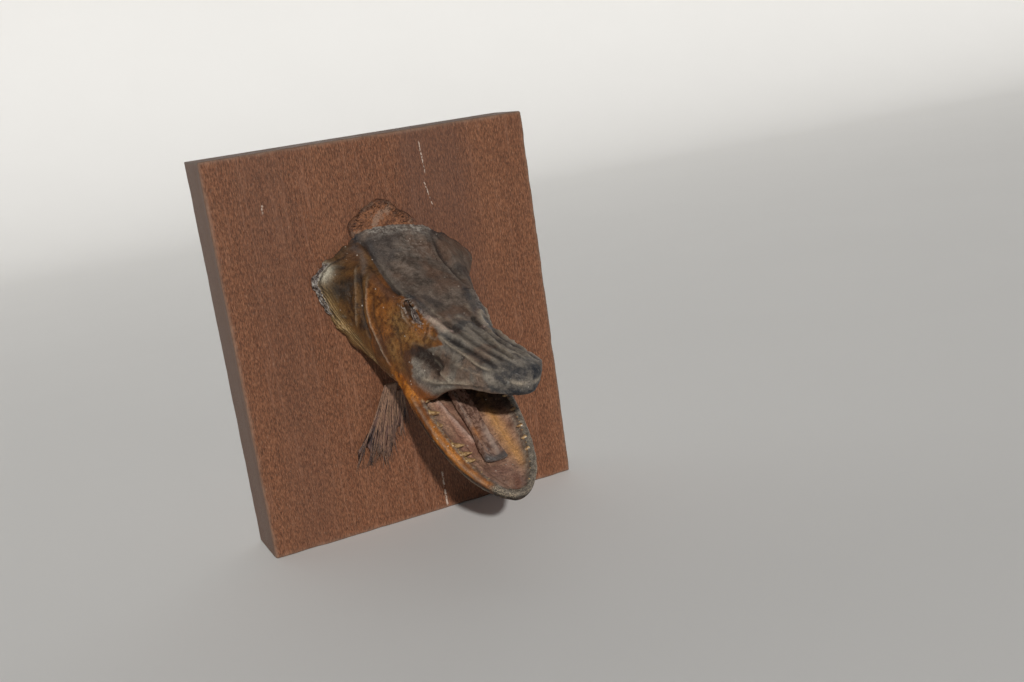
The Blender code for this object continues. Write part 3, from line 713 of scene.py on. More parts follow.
# ---------------------------------------------------------------- materials
class Look:
    """A node material built by short calls. Colours are linear."""

    def __init__(self, name):
        self.material = bpy.data.materials.new(name)
        self.material.use_nodes = True
        self.tree = self.material.node_tree
        self.shader = self.tree.nodes["Principled BSDF"]
        coordinates = self.tree.nodes.new("ShaderNodeTexCoord")
        self.place = coordinates.outputs["Object"]

    def put(self, socket, value):
        if isinstance(value, bpy.types.NodeSocket):
            self.tree.links.new(value, socket)
        elif isinstance(value, tuple) and socket.type == "RGBA":
            socket.default_value = (*value, 1.0)
        else:
            socket.default_value = value

    def stretched(self, scale):
        """The place, scaled along each axis: a pattern is drawn out where the scale is below 1."""
        node = self.tree.nodes.new("ShaderNodeMapping")
        self.put(node.inputs["Vector"], self.place)
        node.inputs["Scale"].default_value = scale
        return node.outputs["Vector"]

    def noise(self, scale, detail=4.0, rough=0.55, warp=0.0, vector=None):
        node = self.tree.nodes.new("ShaderNodeTexNoise")
        self.put(node.inputs["Vector"], vector or self.place)
        node.inputs["Scale"].default_value = scale
        node.inputs["Detail"].default_value = detail
        node.inputs["Roughness"].default_value = rough
        node.inputs["Distortion"].default_value = warp
        return node.outputs["Fac"]

    def cells(self, scale, feature="F1", vector=None):
        node = self.tree.nodes.new("ShaderNodeTexVoronoi")
        node.feature = feature
        self.put(node.inputs["Vector"], vector or self.place)
        node.inputs["Scale"].default_value = scale
        return node.outputs["Distance"]

    def span(self, value, low, high, to_low=0.0, to_high=1.0):
        node = self.tree.nodes.new("ShaderNodeMapRange")
        node.interpolation_type = "SMOOTHSTEP"
        for key, number in (("Value", value), ("From Min", low), ("From Max", high), ("To Min", to_low),
                            ("To Max", to_high)):
            self.put(node.inputs[key], number)
        return node.outputs["Result"]

    def math(self, operation, a, b=0.0):
        node = self.tree.nodes.new("ShaderNodeMath")
        node.operation = operation
        self.put(node.inputs[0], a)
        self.put(node.inputs[1], b)
        return node.outputs[0]

    def times(self, a, b):
        return self.math("MULTIPLY", a, b)

    def plus(self, a, b):
        return self.math("ADD", a, b)

    def mix(self, share, a, b, blend="MIX"):
        node = self.tree.nodes.new("ShaderNodeMix")
        node.data_type = "RGBA"
        node.blend_type = blend
        node.clamp_factor = True
        self.put(node.inputs[0], share)
        self.put(node.inputs[6], a)
        self.put(node.inputs[7], b)
        return node.outputs[2]

    def lay(self, colour, tint, share, strength):
        """Lays a tint over a colour, as much as its share and strength say."""
        return self.mix(self.times(share, strength), colour, tint)

    def less(self, a, b):
        return self.math("SUBTRACT", a, b)

    def mask(self, name):
        node = self.tree.nodes.new("ShaderNodeAttribute")
        node.attribute_name = name
        return node.outputs["Fac"]

    def bump(self, height, distance, strength):
        node = self.tree.nodes.new("ShaderNodeBump")
        node.inputs["Distance"].default_value = distance
        node.inputs["Strength"].default_value = strength
        self.put(node.inputs["Height"], height)
        return node.outputs["Normal"]

    def finish(self, colour, roughness, normal=None, specular=0.5, coat=None, coat_roughness=0.16):
        self.put(self.shader.inputs["Base Color"], colour)
        self.put(self.shader.inputs["Roughness"], roughness)
        self.put(self.shader.inputs["Specular IOR Level"], specular)
        if coat is not None:
            self.put(self.shader.inputs["Coat Weight"], coat)
            self.shader.inputs["Coat Roughness"].default_value = coat_roughness
        if normal is not None:
            self.put(self.shader.inputs["Normal"], normal)
        return self.material


def skin_look():
    look = Look("dried_skin")
    broad = look.noise(30.0, 3.0, 0.5)
    blotch = look.noise(85.0, 4.0, 0.55, 0.15)
    mottle = look.noise(300.0, 4.0, 0.6, 0.15)
    speck = look.noise(1100.0, 3.0, 0.65)
    fibre = look.noise(230.0, 4.0, 0.6, 0.2, vector=look.stretched((1.0, 0.16, 0.9)))

    def shades(source, dark, light, low=0.36, high=0.64):
        return look.mix(look.span(source, low, high), dark, light)

    def touch(source, low, high, share, colour, tint):
        return look.lay(colour, tint, look.span(source, low, high), share)

    # Cheeks: orange-brown, clouded
    cheek = shades(blotch, (0.105, 0.036, 0.008), (0.305, 0.105, 0.019))
    cheek = touch(mottle, 0.46, 0.66, 0.45, cheek, (0.330, 0.140, 0.034))
    cheek = touch(broad, 0.50, 0.60, 0.65, cheek, (0.092, 0.044, 0.014))
    cheek = touch(mottle, 0.44, 0.34, 0.65, cheek, (0.036, 0.014, 0.006))
    # Gill covers: brown to gold
    cover = shades(blotch, (0.055, 0.024, 0.008), (0.165, 0.074, 0.019))
    cover = touch(mottle, 0.48, 0.66, 0.45, cover, (0.220, 0.115, 0.034))
    cover = touch(broad, 0.52, 0.62, 0.50, cover, (0.100, 0.060, 0.021))
    cover = touch(blotch, 0.46, 0.36, 0.60, cover, (0.026, 0.015, 0.008))
    # Roof and snout: grey-brown leather, drawn out along the head; the roof's colour is also laid on the far right
    # side as painted shade
    drawn = look.noise(120.0, 5.0, 0.6, 0.3, look.stretched((1.0, 0.40, 1.0)))
    roof = shades(drawn, (0.076, 0.057, 0.045), (0.185, 0.140, 0.110))
    roof = touch(mottle, 0.46, 0.66, 0.50, roof, (0.225, 0.182, 0.148))
    roof = touch(broad, 0.50, 0.62, 0.50, roof, (0.155, 0.080, 0.048))
    roof = touch(broad, 0.47, 0.38, 0.55, roof, (0.050, 0.044, 0.043))
    snout = shades(drawn, (0.130, 0.112, 0.095), (0.290, 0.248, 0.200))
    snout = touch(fibre, 0.48, 0.66, 0.45, snout, (0.380, 0.335, 0.275))
    snout = touch(broad, 0.50, 0.60, 0.50, snout, (0.240, 0.130, 0.075))
    snout = touch(drawn, 0.45, 0.36, 0.60, snout, (0.042, 0.042, 0.045))
    # Inside of the mouth, and the underside
    mouth = shades(blotch, (0.240, 0.128, 0.084), (0.480, 0.285, 0.190))
    mouth = touch(mottle, 0.45, 0.34, 0.60, mouth, (0.120, 0.058, 0.040))
    mouth = touch(broad, 0.50, 0.62, 0.50, mouth, (0.260, 0.110, 0.078))
    under = shades(blotch, (0.190, 0.050, 0.003), (0.600, 0.205, 0.022))
    under = touch(mottle, 0.45, 0.34, 0.60, under, (0.062, 0.020, 0.006))

    rough_edge = look.times(look.less(mottle, 0.5), 0.55)

    def zone(colour, name, tint, low=0.25, high=0.75):
        """Lays a tint over the place of that name, with an uneven edge."""
        return look.mix(look.span(look.plus(look.mask(name), rough_edge), low, high), colour, tint)

    def wash(colour, name, tint, strength):
        """Lays a tint on thinly, as strong as the mask."""
        share = look.times(look.mask(name), look.span(mottle, 0.25, 0.75, 0.70 * strength, 1.20 * strength))
        return look.mix(share, colour, tint)

    def washes(colour, *rows):
        for row in rows:
            colour = wash(colour, *row)
        return colour

    colour = zone(cheek, "cover", cover)
    colour = wash(colour, "warm", (0.112, 0.055, 0.034), 0.95)
    colour = wash(colour, "ochre", shades(mottle, (0.120, 0.055, 0.016), (0.300, 0.160, 0.052), 0.36, 0.58), 0.75)
    colour = washes(
        colour,
        # Dark brown blotches on the gill cover, and painted shade along the collar's seam
        ("umber", (0.026, 0.017, 0.010), 0.95),
        ("gold", (0.600, 0.400, 0.160), 1.00),
        # Painted highlight, cream-white, high on the left gill cover
        ("olive", (0.600, 0.560, 0.440), 0.85),
    )
    colour = zone(colour, "rim", shades(mottle, (0.050, 0.038, 0.034), (0.340, 0.300, 0.270), 0.42, 0.60))
    colour = wash(colour, "ash", (0.175, 0.132, 0.106), 0.85)
    colour = zone(colour, "roof", roof)
    colour = wash(colour, "brown", (0.085, 0.036, 0.018), 0.90)
    colour = zone(colour, "snout", snout)
    colour = wash(colour, "lip", (0.150, 0.078, 0.050), 0.85)
    colour = wash(colour, "mist", shades(mottle, (0.130, 0.105, 0.085), (0.330, 0.290, 0.240), 0.40, 0.62), 0.80)
    colour = wash(colour, "web", (0.250, 0.080, 0.018), 0.95)
    colour = zone(colour, "jaw", under)
    colour = zone(colour, "chin", shades(speck, (0.075, 0.062, 0.050), (0.300, 0.240, 0.170), 0.40, 0.60))
    colour = zone(colour, "mouth", mouth)
    colour = washes(
        colour,
        ("sand", (0.640, 0.330, 0.120), 0.90),
        ("plum", (0.200, 0.098, 0.082), 0.80),
        ("gum", (0.150, 0.138, 0.128), 0.80),
    )
    colour = wash(colour, "gums", shades(mottle, (0.095, 0.082, 0.070), (0.270, 0.225, 0.175), 0.36, 0.64), 0.80)
    colour = washes(
        colour,
        # Painted shade, blue-grey, in furrows and on the far right side
        ("blue", (0.034, 0.036, 0.042), 0.85),
        # Painted shade in the hollow over the maxilla
        ("gloom", (0.038, 0.020, 0.013), 0.95),
        # Painted shade, near-black
        ("smoke", (0.022, 0.016, 0.013), 0.97),
        ("tip", (0.020, 0.022, 0.028), 0.95),
    )
    colour = wash(colour, "nape", shades(mottle, (0.150, 0.126, 0.108), (0.420, 0.380, 0.330), 0.40, 0.62), 0.90)
    colour = washes(
        colour,
        # Painted shade, red-brown, in the nostril's pit
        ("rust", (0.040, 0.013, 0.010), 0.95),
        # Pale pink flesh, partly painted highlight
        ("flesh", (0.520, 0.360, 0.290), 0.85),
        # Painted shade on the jaw's underside
        ("soot", (0.018, 0.011, 0.007), 0.95),
        ("lid", (0.420, 0.360, 0.310), 0.60),
        # Painted highlight on ridge crests, then painted shade in grooves and creases, both with the gill membrane's
        # stripes
        ("pale", (0.470, 0.390, 0.290), 0.62),
        ("dark", (0.020, 0.015, 0.013), 0.80),
    )
    # Fine creases, where a slow noise crosses its middle, and only in places, with painted shade in them
    source = look.noise(140.0, 3.0, 0.6, 0.2, look.stretched((1.0, 0.6, 1.0)))
    gap = look.math("ABSOLUTE", look.less(source, 0.5))
    crease = look.times(look.span(gap, 0.020, 0.0), look.span(blotch, 0.50, 0.58))
    colour = look.lay(colour, (0.030, 0.021, 0.016), crease, 0.25)
    colour = look.mix(1.0, colour, look.span(speck, 0.30, 0.70, 0.72, 1.25), "MULTIPLY")
    # Sparse dust and small scars
    dust = look.times(look.span(look.noise(1300.0, 2.0, 0.7), 0.69, 0.75), look.span(broad, 0.46, 0.58))
    colour = look.lay(colour, (0.42, 0.38, 0.33), dust, 0.45)
    scar = look.times(look.span(look.cells(150.0), 0.11, 0.06), look.span(blotch, 0.49, 0.53))
    colour = look.lay(colour, (0.56, 0.50, 0.42), scar, 0.80)

    roughness = look.span(mottle, 0.3, 0.7, 0.48, 0.66)
    pebble = look.span(look.cells(620.0, "DISTANCE_TO_EDGE"), 0.0, 0.16)
    height = look.plus(look.times(pebble, 0.30), look.times(mottle, 1.0))
    height = look.plus(height, look.times(speck, 0.40))
    height = look.plus(height, look.times(fibre, 0.8))
    height = look.less(height, look.times(crease, 0.7))
    crumple = look.noise(420.0, 2.0, 0.5, 0.6)
    height = look.plus(height, look.times(look.mask("crumpled"), look.times(crumple, 4.0)))
    # Painted glints: whitish flecks on the crests of the crumpled places
    colour = look.lay(colour, (0.62, 0.60, 0.55), look.mask("crumpled"), look.span(crumple, 0.58, 0.68, 0.0, 0.75))
    normal = look.bump(height, 0.0012, 0.75)
    varnish = look.times(look.plus(look.times(look.mask("wet"), 0.60), 0.04), look.span(speck, 0.35, 0.60, 0.55, 1.0))
    return look.finish(colour, roughness, normal, 0.22, varnish, 0.16)


# Pale scratches on the board's front: both ends (x, z) and the half width, in metres
SCRATCHES = (
    ((0.0395, 0.143), (0.0405, 0.118), 0.0006),
    ((0.0385, 0.112), (0.0430, 0.092), 0.0006),
    ((0.0150, -0.122), (0.0152, -0.152), 0.0011),
    ((-0.0900, 0.117), (-0.0905, 0.109), 0.0010),
    ((-0.0570, 0.062), (-0.0400, 0.048), 0.0004),
    ((0.0760, -0.040), (0.0815, -0.062), 0.0004),
)


def wood_look():
    look = Look("board_wood")
    split = look.tree.nodes.new("ShaderNodeSeparateXYZ")
    look.put(split.inputs[0], look.place)
    x, z = split.outputs[0], split.outputs[2]

    def grain(scale, detail, rough, stretch, warp=0.0):
        """Noise drawn out along the board's height."""
        return look.noise(scale, detail, rough, warp, look.stretched((1.0, 1.0, stretch)))

    drift = grain(9.0, 2.0, 0.5, 0.25)
    broad = grain(30.0, 4.0, 0.55, 0.045, 0.4)
    fine = grain(1100.0, 3.0, 0.60, 0.22)
    dash = grain(1300.0, 3.0, 0.65, 0.30)
    hair = grain(420.0, 3.0, 0.60, 0.05)
    colour = look.mix(look.span(broad, 0.30, 0.70), (0.128, 0.046, 0.020), (0.166, 0.065, 0.030))
    colour = look.lay(colour, (0.270, 0.125, 0.066), look.span(fine, 0.42, 0.68), 0.50)
    colour = look.lay(colour, (0.098, 0.036, 0.019), look.span(fine, 0.48, 0.32), 0.45)
    colour = look.mix(1.0, colour, look.span(dash, 0.34, 0.66, 0.60, 1.36), "MULTIPLY")
    colour = look.lay(colour, (0.290, 0.140, 0.084), look.span(hair, 0.54, 0.70), 0.30)
    # A broad darker band right of the middle, strongest near the top, and a faint one at the left
    wander = look.plus(x, look.times(look.less(drift, 0.5), 0.05))
    band = look.times(look.span(wander, 0.018, 0.040), look.span(wander, 0.100, 0.070))
    band = look.times(band, look.span(z, -0.10, 0.12, 0.10, 0.60))
    colour = look.lay(colour, (0.088, 0.042, 0.030), band, look.span(fine, 0.30, 0.62, 1.0, 0.6))
    left_band = look.times(look.span(wander, -0.125, -0.100), look.span(wander, -0.060, -0.085))
    colour = look.lay(colour, (0.100, 0.048, 0.032), left_band, 0.22)
    # Open pores: short dark dashes along the grain, and pale dust in some
    pores = look.span(look.cells(1000.0, vector=look.stretched((1.0, 1.0, 0.20))), 0.28, 0.12)
    pores = look.times(pores, look.span(grain(260.0, 2.0, 0.5, 0.3), 0.40, 0.56))
    colour = look.lay(colour, (0.055, 0.020, 0.012), pores, 0.38)
    chalk = look.span(grain(1100.0, 2.0, 0.7, 0.25), 0.62, 0.74)
    colour = look.lay(colour, (0.400, 0.250, 0.175), chalk, 0.35)
    # Worn edges, greyed sides, stains and dust
    wear = look.times(look.mask("worn"), look.span(look.noise(180.0, 4.0, 0.7), 0.30, 0.62, 0.25, 1.0))
    colour = look.lay(colour, (0.340, 0.215, 0.150), wear, 0.60)
    colour = look.lay(colour, (0.140, 0.092, 0.066), look.mask("side"), 0.60)
    stain = look.span(look.noise(26.0, 4.0, 0.7, 0.6), 0.55, 0.75)
    colour = look.lay(colour, (0.110, 0.044, 0.026), stain, 0.25)
    dust = look.span(look.noise(700.0, 2.0, 0.8), 0.72, 0.79)
    colour = look.lay(colour, (0.42, 0.33, 0.26), dust, 0.40)

    scratches = []
    for (x0, z0), (x1, z1), width in SCRATCHES:
        length = math.hypot(x1 - x0, z1 - z0)
        ux, uz = (x1 - x0) / length, (z1 - z0) / length
        jog = look.times(look.less(look.noise(240.0, 2.0), 0.5), 0.0022)
        dx, dz = look.less(x, x0), look.less(z, z0)
        along = look.plus(look.times(dx, ux), look.times(dz, uz))
        across = look.less(look.times(dx, uz), look.times(dz, ux))
        across = look.math("ABSOLUTE", look.plus(across, jog))
        line = look.times(look.span(across, width, width * 0.4), look.span(along, -0.001, 0.002))
        line = look.times(line, look.span(along, length + 0.001, length - 0.003))
        scratches.append(look.times(line, look.span(look.noise(360.0, 3.0, 0.7), 0.42, 0.52)))
    marks = scratches[0]
    for line in scratches[1:]:
        marks = look.math("MAXIMUM", marks, line)
    marks = look.times(marks, look.mask("front"))
    colour = look.lay(colour, (0.55, 0.44, 0.36), marks, 0.8)

    height = look.plus(look.times(fine, 0.9), look.times(hair, 0.4))
    height = look.less(height, look.times(pores, 1.1))
    height = look.less(height, look.times(marks, 0.6))
    normal = look.bump(height, 0.0006, 0.65)
    return look.finish(colour, look.span(broad, 0.3, 0.7, 0.50, 0.62), normal, 0.3)


# ---------------------------------------------------------------- pieces
def keep(piece, material_slot, *nodes):
    """Fixes a piece to the object in place of CAD nodes."""
    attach(piece, "root")
    if nodes:
        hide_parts(*nodes)
    return piece


def make_skin():
    """The skin, and a mask on it for each colour: s runs forward, a to the right and h up, in mm."""
    vertices, faces = skin_mesh(head_field, SKIN_LOW, SKIN_HIGH, STEP)
    s, a, h = vertices.T
    piece = shell("head_skin", to_row(vertices), faces, skin_look())
    place = to_jaw(vertices)
    along, across, _ = place.T
    upper, lower = head.distance(vertices), jaw.distance(place)
    dark, pale = head.look_up(vertices, head.dark, head.pale)
    jaw_dark, jaw_pale = jaw.look_up(place, jaw.dark, jaw.pale)
    gold, = head.look_up(vertices, golden)
    on_jaw = smooth(-1.5, 1.5, upper - lower)
    skull = 1 - on_jaw
    outside = 1 - smooth(0.7, 1.8, np.where(upper < lower, -upper, -lower))
    inside = 1 - outside
    left = smooth(4.0, -4.0, a)
    edge = np.interp(s, SECTION_TABLE[:, 0], SECTION_TABLE[:, 2])
    _, angle = head.polar(vertices)
    edge = edge + 5.0 * smooth(16, 4, s)
    top = smooth(-2.0, 2.0, edge - np.abs(a)) * smooth(0.25, 0.5, np.cos(angle)) * skull
    parting = np.interp(h, (-50, -24, -12, 4, 24, 48, 70, 90), (34, 44, 50, 53, 52, 46, 36, 30))
    on_cover = smooth(-2.5, 2.5, parting - s) * (1 - top) * skull
    folded = np.stack([s, np.abs(a), h], -1)

    def spot(centre, radii):
        return np.exp(-(((folded - np.asarray(centre, float)) / np.asarray(radii, float)) ** 2).sum(-1))

    def streak(line, width):
        gap, _ = along_line(folded, line)
        return bell(gap, width)

    start = np.interp(h, (-32, -20, -13, 3, 8, 11, 16, 22, 30), (134, 118, 106, 105, 122, 134, 126, 116, 110))
    ragged = 6.0 * noise(vertices, 8.0, seed=46, octaves=4)
    snout = smooth(-8.0, 8.0, s - start + ragged) * skull * outside
    hollow = unit(1.9 * streak([(107, 30, 4.5), (119, 28, 2.5), (131, 26.5, -1), (140, 26, -4.5)], 4.2))
    palate = ellipse_distance(vertices, CAVITY_CENTRE, CAVITY_RADII)
    lip = smooth(5.5, 2.0, np.abs(palate)) * skull * smooth(112, 126, s) * smooth(206, 196, s)
    rim = bell(place[:, 2], 2.2) * on_jaw
    socket = smooth(0.6, -0.4, slit_distance(vertices)) * skull
    reach = s + 1.6 * noise(vertices, 6.0, seed=47) - 3.4 * left * smooth(6, 24, h)
    collar = smooth(4.6, 3.2, reach) * smooth(36, 42, np.abs(a)) * smooth(14, 26, h) * smooth(63, 56, h)
    seam = bell(reach - 5.2, 1.0) * smooth(36, 42, np.abs(a)) * smooth(8, 22, h) * smooth(72, 62, h)
    frayed = smooth(20, 9, s + 5 * noise(vertices, 9.0, seed=49, octaves=4) + 0.12 * np.abs(a - 4))
    patchy = 0.75 + 0.5 * noise(vertices, 4.0, seed=50)
    worn = np.exp(-(((s - 30) / 10.0) ** 2 + ((a - 6) / 12.0) ** 2))
    paint(
        piece,
        # The roof's colour, also laid over the upper right side as painted shade, since that side turns from the
        # light
        roof=unit(top * (1 - 0.85 * snout) + (1 - left) * outside * (1 - snout) * skull
                  * smooth(14, 32, h + 0.25 * s)),
        cover=on_cover,
        snout=snout,
        # Painted shade in the hollow over the maxilla, and a fainter band forward of it
        gloom=skull * outside
        * unit(0.6 * streak([(134, 25, 3), (152, 24, -1), (170, 22, -4)], 3.6) + hollow),
        gold=unit(0.30 * gold + 0.8 * rays_at(vertices)) * on_cover * (0.35 + 0.65 * left),
        # Painted highlight, cream-white, high on the left gill cover
        olive=unit(1.5 * spot((8, 60, 54), (8, 7, 7))) * left,
        # Dark brown blotches on the gill cover, and painted shade in the streak along the collar's seam
        umber=unit(1.5 * spot((25, 51, 41), (8, 9, 9)) + 0.5 * spot((16, 52, 56), (9, 8, 6))
                   + 0.8 * streak([(6, 58, 48), (7, 55, 34), (11, 50, 20)], 1.6)) * on_cover,
        rim=collar * outside,
        ash=0.85 * streak([(9, 35, 71), (20, 33, 67), (28, 34, 60), (36, 37, 53)], 2.6)
        + 0.5 * (1 - left) * streak([(12, 44, 74), (20, 44, 66), (23, 48, 55)], 3.0),
        warm=unit(0.9 * spot((16, 40, 68), (12, 10, 9)) + 0.6 * spot((68, 41, 4), (14, 8, 12))
                  + 0.8 * streak([(44, 34, 51), (58, 33, 45), (76, 30, 38)], 4.5)),
        ochre=unit(streak([(80, 34, 26), (93, 33, 16), (106, 30, 11), (120, 26, 10)], 6.0)
                   + 0.9 * streak([(84, 37, 4), (94, 36, -6), (100, 35, -14)], 6.5)) * skull,
        brown=bell(s - start + ragged + 5, 5.0) * smooth(14, 4, h) * skull * outside,
        mist=unit(streak([(104, 34, -19), (118, 33, -17), (134, 31, -16), (152, 27, -12)], 2.6)
                  + 0.6 * streak([(112, 33, -8), (128, 30, -10)], 3.0)) * skull * outside,
        lid=bell(slit_distance(vertices) - 1.0, 0.6) * skull
        * smooth(-0.1, 0.35, noise(vertices, 3.0, seed=45)),
        gums=on_jaw * smooth(-8.5, -3.5, place[:, 2]) * smooth(1.2, 0.2, place[:, 2])
        * unit(np.where(across < 0, 0.85 * bell(-across - jaw_half_width(along) + 3.4, 1.9),
                        bell(across - jaw_half_width(along) + 4.2, 4.2)) * 1.2),
        # Painted shade: in the notch by the board above each gill cover, along the collar's seam, in the eye's slit,
        # at the back of the mouth and deep in its roof
        smoke=unit(1.2 * spot((0, 46, 69), (7, 7, 7)) + 0.85 * seam + socket
                   + 0.85 * inside * on_jaw * smooth(90, 100, along + 0.6 * across)
                   + 0.85 * inside * skull * smooth(0.0, -12.0, palate - 6)),
        # Painted shade, blue-grey: in the furrows by the roof's edge, round the eye and along the snout, on the right
        # side, which turns from the light, and near the board at the nape's corners
        blue=unit(0.8 * streak([(84, 23, 40), (100, 18, 35), (110, 15, 29)], 2.6)
                  + 0.95 * streak([(126, 18, 17), (150, 16, 13), (175, 16, 9.5), (197, 15.6, 5),
                                   (205, 13, -4)], 2.4)
                  + 0.6 * streak([(112, 5, 28), (140, 6, 18.5), (170, 8, 12.5), (203, 7, 7)], 2.2)
                  + 0.55 * streak([(14, 24.5, 75), (32, 24.5, 61), (52, 24, 50), (70, 24, 43),
                                   (86, 21, 39.5)], 2.6)
                  + 0.7 * (1 - left) * bell(s - 3, 3.0) * smooth(30, 36, np.abs(a))
                  + 0.85 * (1 - left) * streak([(104, 23, 28), (118, 20, 22), (130, 19, 17)], 6.0)
                  + 0.95 * spot((3, 31, 77), (7, 6, 7)) + 0.6 * spot((12, 33, 71), (7, 4, 5))) * outside,
        lip=unit(0.9 * lip + 0.5 * rim) * outside,
        web=unit(1.3 * streak([(94, 36, -18), (106, 34, -21), (117, 32, -24), (126, 30, -25)], 5.5)),
        jaw=on_jaw * outside,
        chin=on_jaw * unit(smooth(17, 6, along) + rim * smooth(-6, 6, across)) * 0.95
        * smooth(-9, -3, place[:, 2]),
        crumpled=unit(collar + 0.9 * streak([(84, 27, 36), (94, 26.5, 30.5), (107, 25, 21.5)], 5.0)
                      + 0.5 * spot((210, 8, -4), (5, 5, 4))) * outside,
        mouth=inside * (1 - socket) * (s > 20),
        sand=0.95 * inside * on_jaw * bell(across - 17.0, 4.2) * smooth(16, 34, along),
        plum=0.8 * inside * on_jaw * np.exp(-(((along - 26) / 10.0) ** 2 + (across / 13.0) ** 2)),
        gum=0.8 * inside * on_jaw * bell(-across - jaw_half_width(along) + 7, 2.6),
        tip=unit((1.0 * np.exp(-(((s - 203) / 10) ** 2 + ((h + 11) / 4.6) ** 2))
                  + 1.0 * np.exp(-(((s - 211) / 6) ** 2 + ((a - 8) / 6) ** 2 + (h / 7) ** 2))
                  + 0.50 * smooth(202, 212, s)) * (1 + 0.5 * noise(vertices, 4.0, seed=48))) * skull,
        # Painted shade, red-brown, in the pit between the lachrymal ridge and the nostril
        rust=unit(1.2 * streak([(114, 12, 26), (120, 10.5, 23.5), (127, 10, 21), (133, 10, 19.5)], 2.6)),
        # Pale pink flesh with painted highlight, on the lachrymal ridge, at the nostril and on the fold across the
        # mouth's floor
        flesh=unit((0.25 + 0.95 * left)
                   * streak([(108, 19.5, 26.5), (113, 17, 25), (119, 15.5, 23), (125, 15.5, 20.5)], 2.2)
                   + 1.2 * spot((129.5, 11.5, 19.5), (1.9, 1.9, 1.9))
                   + inside * on_jaw * strap(along, across)),
        # Painted shade on the lower part of the jaw's outer side, which turns down from the light
        soot=on_jaw * outside * smooth(-0.26, -0.52, place[:, 2] / jaw_depth(along)) * smooth(116, 80, along),
        nape=unit(frayed * patchy + 0.3 * worn) * top * (1 - smooth(16, 26, -a)),
        # Painted highlight on ridge crests and painted shade in grooves and creases, with the gill membrane's pale
        # and dark stripes
        pale=unit(np.where(on_jaw > 0.5, jaw_pale, pale) * outside),
        dark=unit(np.where(on_jaw > 0.5, jaw_dark, dark) * outside),
        wet=unit(0.8 * on_cover * left + 0.7 * inside * on_jaw + 0.4 * rim + 0.10 * snout + 0.8 * socket + collar
                 + streak([(108, 19.5, 26.5), (119, 15.5, 23), (129, 12, 19.5)], 5.0)),
    )
    return keep(piece, "roof_skin", "cranium", "throat", "upper_jaw", "cheek_left", "cheek_right", "gill_cover_left",
                "gill_cover_right", "gill_membrane_left", "gill_membrane_right", "lower_jaw")


def strap(along, across):
    """The fold that crosses the floor of the mouth to the tongue's left edge."""
    return bell(across + 7.0 + 0.26 * (along - 62), 2.0) * smooth(56, 62, along) * smooth(104, 96, along)


def rays_at(vertices):
    return head.look_up(vertices, unit(rays))[0]


def grid_faces(rows, columns, wrap=False):
    i, j = np.meshgrid(np.arange(rows - 1), np.arange(columns if wrap else columns - 1), indexing="ij")
    k = (j + 1) % columns
    row, following = i * columns, (i + 1) * columns
    return np.stack([row + j, row + k, following + k, following + j], -1).reshape(-1, 4)


def tube(path, radii, around):
    """A closed round strip along a path, with a rounded end at each side: its vertices and quads."""
    path = np.asarray(path, float)
    way = np.gradient(path, axis=0)
    way /= np.linalg.norm(way, axis=1)[:, None]
    side = np.cross(way, np.array([0.31, 0.87, 0.38]))
    side /= np.linalg.norm(side, axis=1)[:, None]
    up = np.cross(way, side)
    angle = 2 * np.pi * np.arange(around) / around
    ring = np.cos(angle)[None, :, None] * side[:, None] + np.sin(angle)[None, :, None] * up[:, None]
    points = path[:, None] + np.asarray(radii)[:, None, None] * ring
    points = np.concatenate([np.repeat(path[:1][None], around, 1), points, np.repeat(path[-1:][None], around, 1)])
    return points.reshape(-1, 3), grid_faces(len(points), around, wrap=True)


def joined(name, parts, material, shades=None):
    """One piece from several (vertices, quads). shades gives each part's paleness, for the material."""
    vertices, faces, count = [], [], 0
    for points, quads in parts:
        vertices.append(points)
        faces.append(quads + count)
        count += len(points)
    piece = shell(name, np.concatenate(vertices), np.concatenate(faces), material)
    if shades is not None:
        pale = [np.zeros(len(points)) + shade for (points, _), shade in zip(parts, shades)]
        paint(piece, pale=np.concatenate(pale))
    shape = bmesh.new()
    shape.from_mesh(piece.data)
    bmesh.ops.remove_doubles(shape, verts=shape.verts, dist=1e-6)
    bmesh.ops.recalc_face_normals(shape, faces=shape.faces)
    shape.to_mesh(piece.data)
    shape.free()
    return piece


def make_teeth():
    """Curved canines that lean into the mouth, each with a swollen root, and small teeth between them."""
    chance = np.random.default_rng(12)
    parts = []

    def tooth(foot, lean, length, radius):
        foot, lean = np.asarray(foot, float), np.asarray(lean, float)
        lean = lean / np.linalg.norm(lean)
        share = np.linspace(0, 1, 11)[:, None]
        bend = np.array([0.0, 0.0, 0.06]) * length
        path = foot + lean * length * (share - 0.18) + bend * share**2
        radii = radius * np.interp(share[:, 0], (0, 0.15, 0.3, 0.7, 1), (1.6, 1.4, 1.0, 0.62, 0.10))
        points, quads = tube(from_jaw(path), radii, 10)
        parts.append((to_row(points), quads))

    for side, canines, radius in CANINES:
        for along, length in canines:
            across = side * (float(jaw_half_width(along)) - JAW_WALL + 0.4)
            inward = -side * chance.uniform(1.15, 1.45)
            lean = (chance.uniform(-0.30, -0.10), inward, 0.06)
            tooth((along, across, -1.4), lean, CANINE_STRETCH * length, radius)
        for k in range(SMALL_TEETH):
            along = 12.0 + 6.0 * k + chance.uniform(-1.8, 1.8)
            across = side * (float(jaw_half_width(along)) - JAW_WALL * 0.9)
            tooth((along, across, -0.9), (0.2, -side * 0.9, 0.8), chance.uniform(0.9, 1.9), 0.6)
    look = Look("dry_ivory")
    mottle = look.noise(500.0, 4.0, 0.6, 0.3)
    colour = look.mix(look.span(mottle, 0.38, 0.62), (0.190, 0.095, 0.036), (0.440, 0.285, 0.130))
    look.finish(colour, look.span(mottle, 0.3, 0.7, 0.26, 0.40), look.bump(mottle, 0.0003, 0.6), 0.5, 0.4)
    return keep(joined("teeth", parts, look.material), "jaw_skin")


